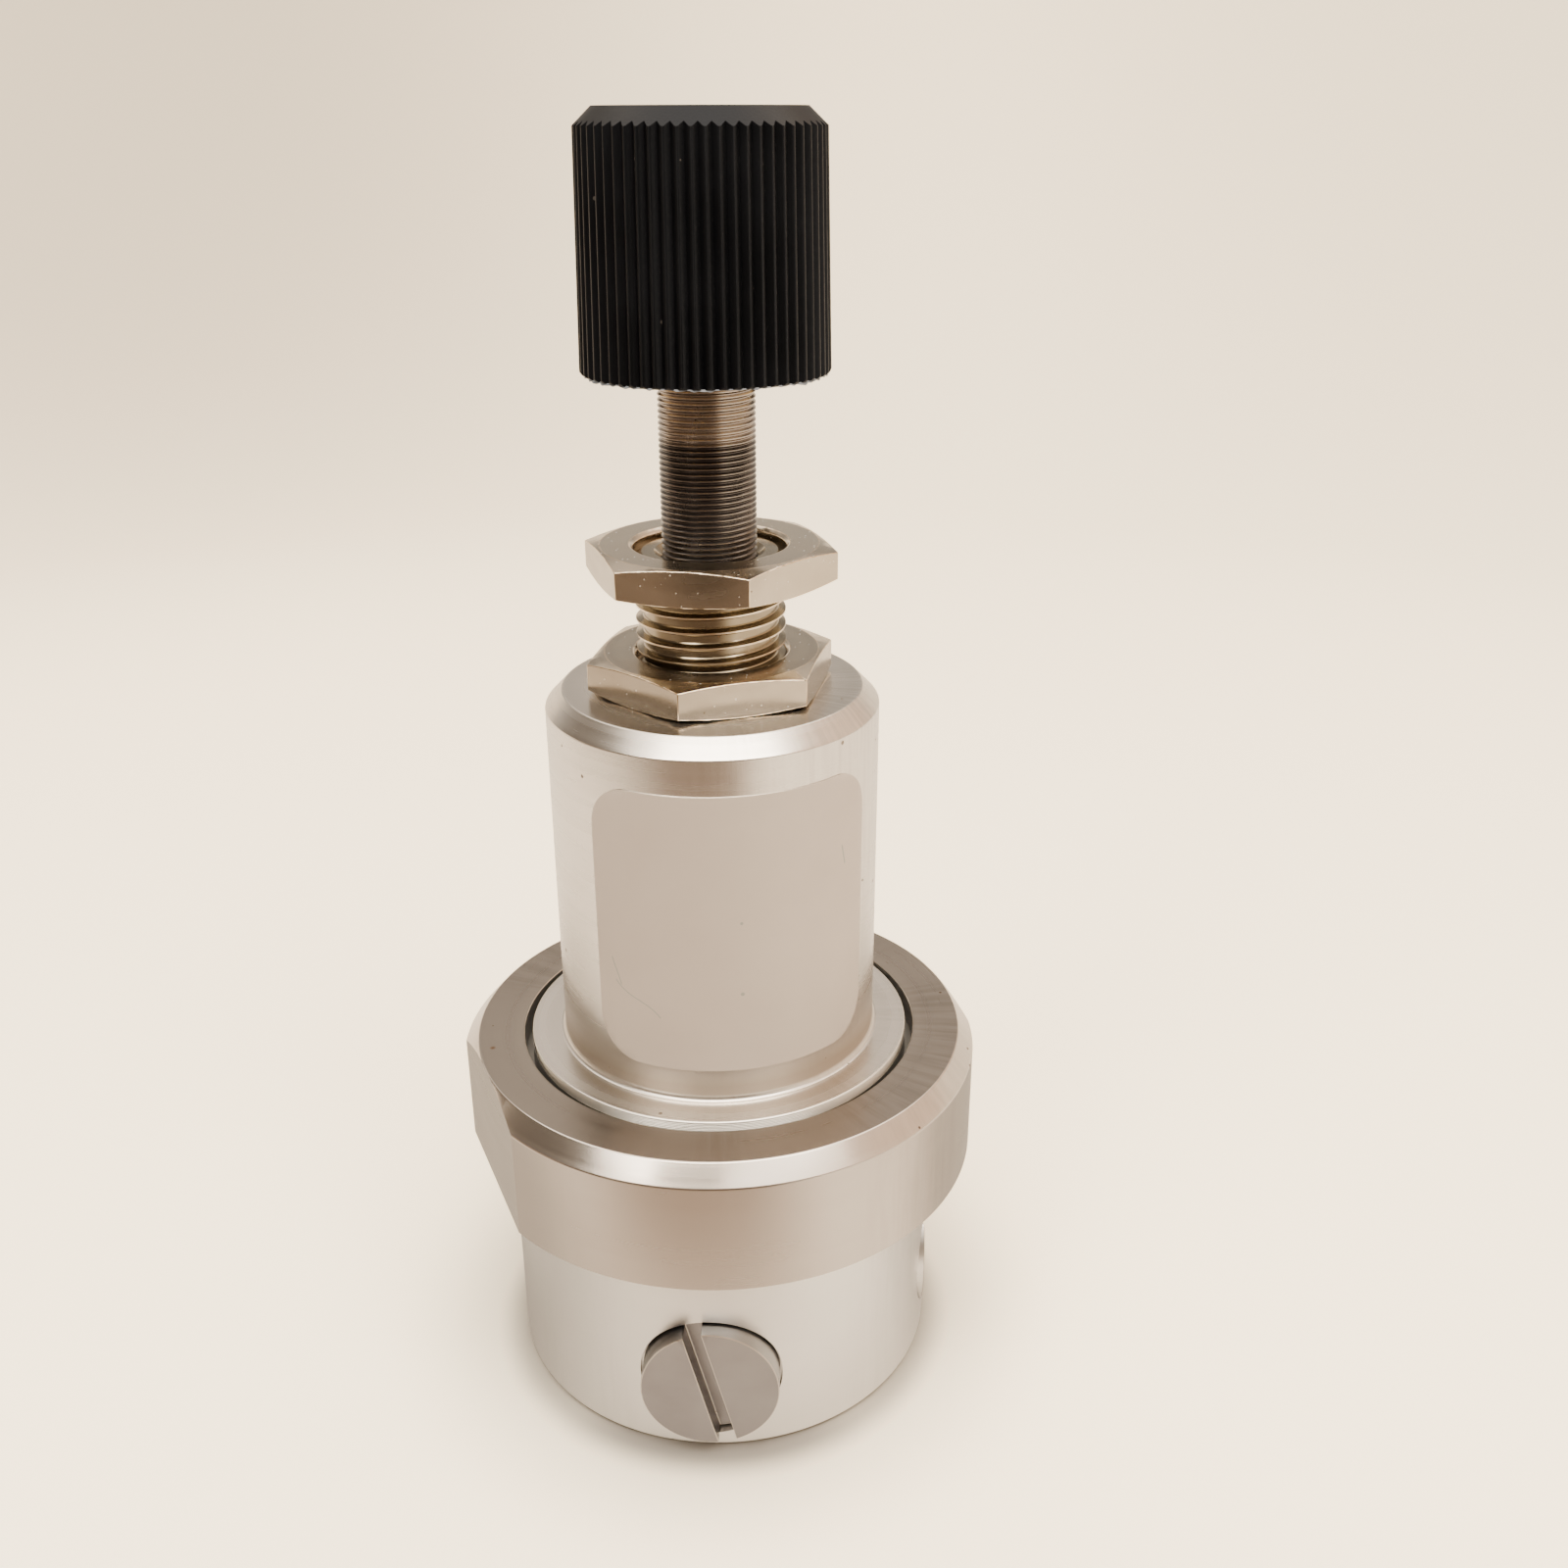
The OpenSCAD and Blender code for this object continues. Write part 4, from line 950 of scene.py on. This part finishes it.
# Its lower edge wanders, and hangs out and down
chance = random.Random(11)
waves = [(rate, chance.uniform(0, 6.28), chance.uniform(0.3, 1)) for rate in (3, 7, 13, 29, 53, 90)]
for vertex in flash.data.vertices:
    if vertex.co.z < (knob_z + flash_h / 2) * mm:
        turn = math.atan2(vertex.co.y, vertex.co.x)
        swell = sum(height * math.sin(rate * turn + start) for rate, start, height in waves) / 3
        reach = max(flash_reach / 2, flash_reach * (1 + 2 * swell))
        out = Vector((math.cos(turn), math.sin(turn), 0))
        vertex.co += out * reach * 0.45 * mm - Vector((0, 0, reach * 0.62 * mm))
skin = flash.modifiers.new("skin", "SOLIDIFY")
skin.thickness = flash_t * mm
apply_all(flash)
smooth(flash)
finish(flash, "adjuster", "knob_black", flash_plastic)


# ---------------------------------------------------------------------------
# Inner pieces, which the body and the bonnet hide: the thrust ball and spring
# button, the two springs, the diaphragm with its plate and hub, and the valve.

def rubber(name, colour, scale):
    material, tree, shader = dressing(name)
    cloud = use(tree, cloud_group, Scale=scale)["Cloud"]
    dark = tuple(0.6 * c for c in colour)
    tree.links.new(mixed(tree, cloud, colour, dark), shader.inputs["Base Color"])
    tree.links.new(ranged(tree, cloud, 0.5, 0.7), shader.inputs["Roughness"])
    return material


bare_brass = metal("bare_brass", (0.78, 0.60, 0.30), (0.70, 0.50, 0.24), 0.24, mark_depth=0.000002)
zinc_steel = metal("zinc_steel", (0.66, 0.66, 0.67), (0.56, 0.56, 0.58), 0.32,
                   grain_depth=0.000003)
spring_wire = metal("spring_wire", (0.42, 0.43, 0.45), (0.34, 0.35, 0.37), 0.28,
                    grain_depth=0.000003)
ball_steel = metal("ball_steel", (0.80, 0.80, 0.82), (0.76, 0.76, 0.78), 0.08, dirt_amount=0.0)
black_steel = metal("black_steel", (0.10, 0.10, 0.105), (0.07, 0.07, 0.075), 0.4)
seal_rubber = rubber("seal_rubber", (0.03, 0.03, 0.032), 800.0)
coated_cloth = rubber("coated_cloth", (0.07, 0.065, 0.06), 2600.0)

inner = {
    ball_steel: ["thrust_ball"],
    zinc_steel: ["spring_button", "diaphragm_plate"],
    spring_wire: ["range_spring", "poppet_spring"],
    bare_brass: ["slip_ring", "diaphragm_hub", "hub_nut", "valve_seat", "poppet", "knob_insert"],
    coated_cloth: ["diaphragm"],
    seal_rubber: ["seat_seal", "retainer_seal", "poppet_face"],
    plug_steel: ["inlet_screen"],
    plated_brass: ["valve_retainer"],
    black_steel: ["knob_set_screw"],
}
for material, names in inner.items():
    for name in names:
        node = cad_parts[name]
        node.data.materials.clear()
        node.data.materials.append(material)


# ---------------------------------------------------------------------------
# Studio: a pale paper sweep that rises all round, a broad soft light overhead,
# a bright window above the camera, and a room that is darker to the left.

paper, tree, shader = dressing("paper")
shader.inputs["Roughness"].default_value = 0.9
shader.inputs["Specular IOR Level"].default_value = 0.1


def patch(centre, radii, soft, inside=1.0):
    """A mask for a soft oval on the paper, 0 outside it.  Sizes are in metres."""
    mapping = tree.nodes.new("ShaderNodeMapping")
    mapping.vector_type = "TEXTURE"
    mapping.inputs["Location"].default_value = (*centre, 0)
    mapping.inputs["Scale"].default_value = (*radii, 1)
    tree.links.new(place(tree), mapping.inputs["Vector"])
    length = tree.nodes.new("ShaderNodeVectorMath")
    length.operation = "LENGTH"
    tree.links.new(mapping.outputs["Vector"], length.inputs[0])
    node = tree.nodes.new("ShaderNodeMapRange")
    node.interpolation_type = "SMOOTHSTEP"
    tree.links.new(length.outputs["Value"], node.inputs["Value"])
    for label, number in (("From Min", 1 - soft), ("From Max", 1 + soft),
                          ("To Min", inside), ("To Max", 0)):
        node.inputs[label].default_value = number
    return node.outputs["Result"]


# The metal mirrors a dimmer table, with painted shade: brown in front and to the left, grey beside
# the body
tone = (0.80, 0.755, 0.68)
for centre, radii, soft, colour in (((-0.01, -0.14), (0.075, 0.095), 0.3, (0.29, 0.238, 0.198)),
                                    ((-0.42, -0.08), (0.22, 0.20), 0.2, (0.22, 0.18, 0.15)),
                                    ((-0.20, -0.60), (0.52, 0.50), 0.16, (0.11, 0.085, 0.068)),
                                    ((-0.053, 0.013), (0.047, 0.053), 0.4, (0.36, 0.34, 0.31)),
                                    ((0.05, 0.03), (0.04, 0.04), 0.4, (0.36, 0.34, 0.31))):
    tone = mixed(tree, patch(centre, radii, soft), tone, colour)
# The contact shadow is deepest right under the body
foot_shade = (0, 0), (0.029, 0.029), 0.35
tone = mixed(tree, patch(*foot_shade, 0.3), tone, (0.05, 0.035, 0.025))
bare = (1.54, 1.43, 1.15)
for centre, dimmed in (((-0.36, 0.60), 0.95), ((0.42, 0.60), 0.4)):
    bare = mixed(tree, patch(centre, (0.30, 0.30), 0.6, dimmed), bare, (0.77, 0.715, 0.60))
# The eye sees a painted contact shadow round the foot and in front of it
bare = mixed(tree, patch(*foot_shade, 0.42), bare, (0.05, 0.06, 0.12))
contact = maths(tree, "ADD", patch((0, -0.0012), (0.0238, 0.0238), 0.08, 0.6),
                patch((0, -0.0205), (0.012, 0.005), 0.4, 0.16))
bare = mixed(tree, contact, bare, (0.04, 0.04, 0.06))
# The eye sees it plain, brighter than the metal does, and a little dimmer in the far corners
seen = tree.nodes.new("ShaderNodeLightPath").outputs["Is Camera Ray"]
tone = mixed(tree, seen, tone, bare)
tree.links.new(tone, shader.inputs["Base Color"])

table_r, rise_r = 380, 260
sweep = turned("sweep", [(0, 0), (table_r, 0)]
               + arc((table_r, rise_r), rise_r, -90, -15, 12), 96)
smooth(sweep, 60)
sweep.data.materials.append(paper)

world = bpy.data.worlds.new("room")
bpy.context.scene.world = world
world.use_nodes = True
tree = world.node_tree
background = tree.nodes["Background"]
outwards = tree.nodes.new("ShaderNodeTexCoord").outputs["Generated"]


def facing(bearing, height):
    """A direction, by its bearing from the front and its height, in degrees."""
    turn, rise = math.radians(bearing), math.radians(height)
    return Vector((math.sin(turn) * math.cos(rise), -math.cos(turn) * math.cos(rise),
                   math.sin(rise)))


def towards(bearing, height, inner, outer):
    """1 within a cone round a direction and 0 outside it, all in degrees."""
    dot = tree.nodes.new("ShaderNodeVectorMath")
    dot.operation = "DOT_PRODUCT"
    tree.links.new(outwards, dot.inputs[0])
    dot.inputs[1].default_value = facing(bearing, height)
    return ranged(tree, dot.outputs["Value"], 0, 1,
                  math.cos(math.radians(outer)), math.cos(math.radians(inner)))


# The walls of the room are darkest in a band above the table
level = split(tree, outwards)[2]
walls = mixed(tree, ranged(tree, level, 0, 1, 0.24, 0.32),
              (0.65, 0.575, 0.48), (0.46, 0.395, 0.33))
walls = mixed(tree, ranged(tree, level, 0, 1, 0.40, 0.52), walls, (1.10, 0.92, 0.74))
room = mixed(tree, towards(100, 22, 25, 55), walls, (1.45, 1.02, 0.70))
room = mixed(tree, towards(-85, 28, 26, 42), room, (0.20, 0.155, 0.115))
room = mixed(tree, towards(0, 8, 15, 32), room, (0.22, 0.16, 0.11))
# Seen past the paper's rim from another side, the room is as pale as the paper
seen = tree.nodes.new("ShaderNodeLightPath").outputs["Is Camera Ray"]
tree.links.new(mixed(tree, seen, room, (3.3, 2.95, 2.5)), background.inputs["Color"])


def panel(name, bearing, height, reach, size, radiance, colour=(1.0, 0.88, 0.73)):
    """A soft light that faces the object, from a direction and a distance in metres."""
    light = bpy.data.lights.new(name, "AREA")
    light.shape = "RECTANGLE"
    light.size, light.size_y = size
    light.energy = radiance * math.pi * size[0] * size[1]
    light.color = colour
    lamp = bpy.data.objects.new(name, light)
    bpy.context.scene.collection.objects.link(lamp)
    away = facing(bearing, height)
    lamp.location = away * reach + Vector((0, 0, 0.06))
    lamp.rotation_euler = away.to_track_quat("Z", "Y").to_euler()


panel("ceiling", 0, 90, 0.62, (1.0, 1.0), 2.6)
panel("window", 8, 61, 0.55, (0.62, 0.20), 11.0)
panel("window_left", -42, 41, 0.60, (0.22, 0.10), 11.0)
panel("window_right", 34, 41, 0.60, (0.50, 0.10), 3.2)

camera = bpy.data.objects.new("camera", bpy.data.cameras.new("camera"))
bpy.context.scene.collection.objects.link(camera)
camera.location = (0.01024, -0.13941, 0.12329)
camera.rotation_euler = (math.radians(66.69), math.radians(0.12), math.radians(1.37))
camera.data.sensor_width = 36
camera.data.lens = 35.70525
camera.data.clip_start = 0.005
bpy.context.scene.camera = camera
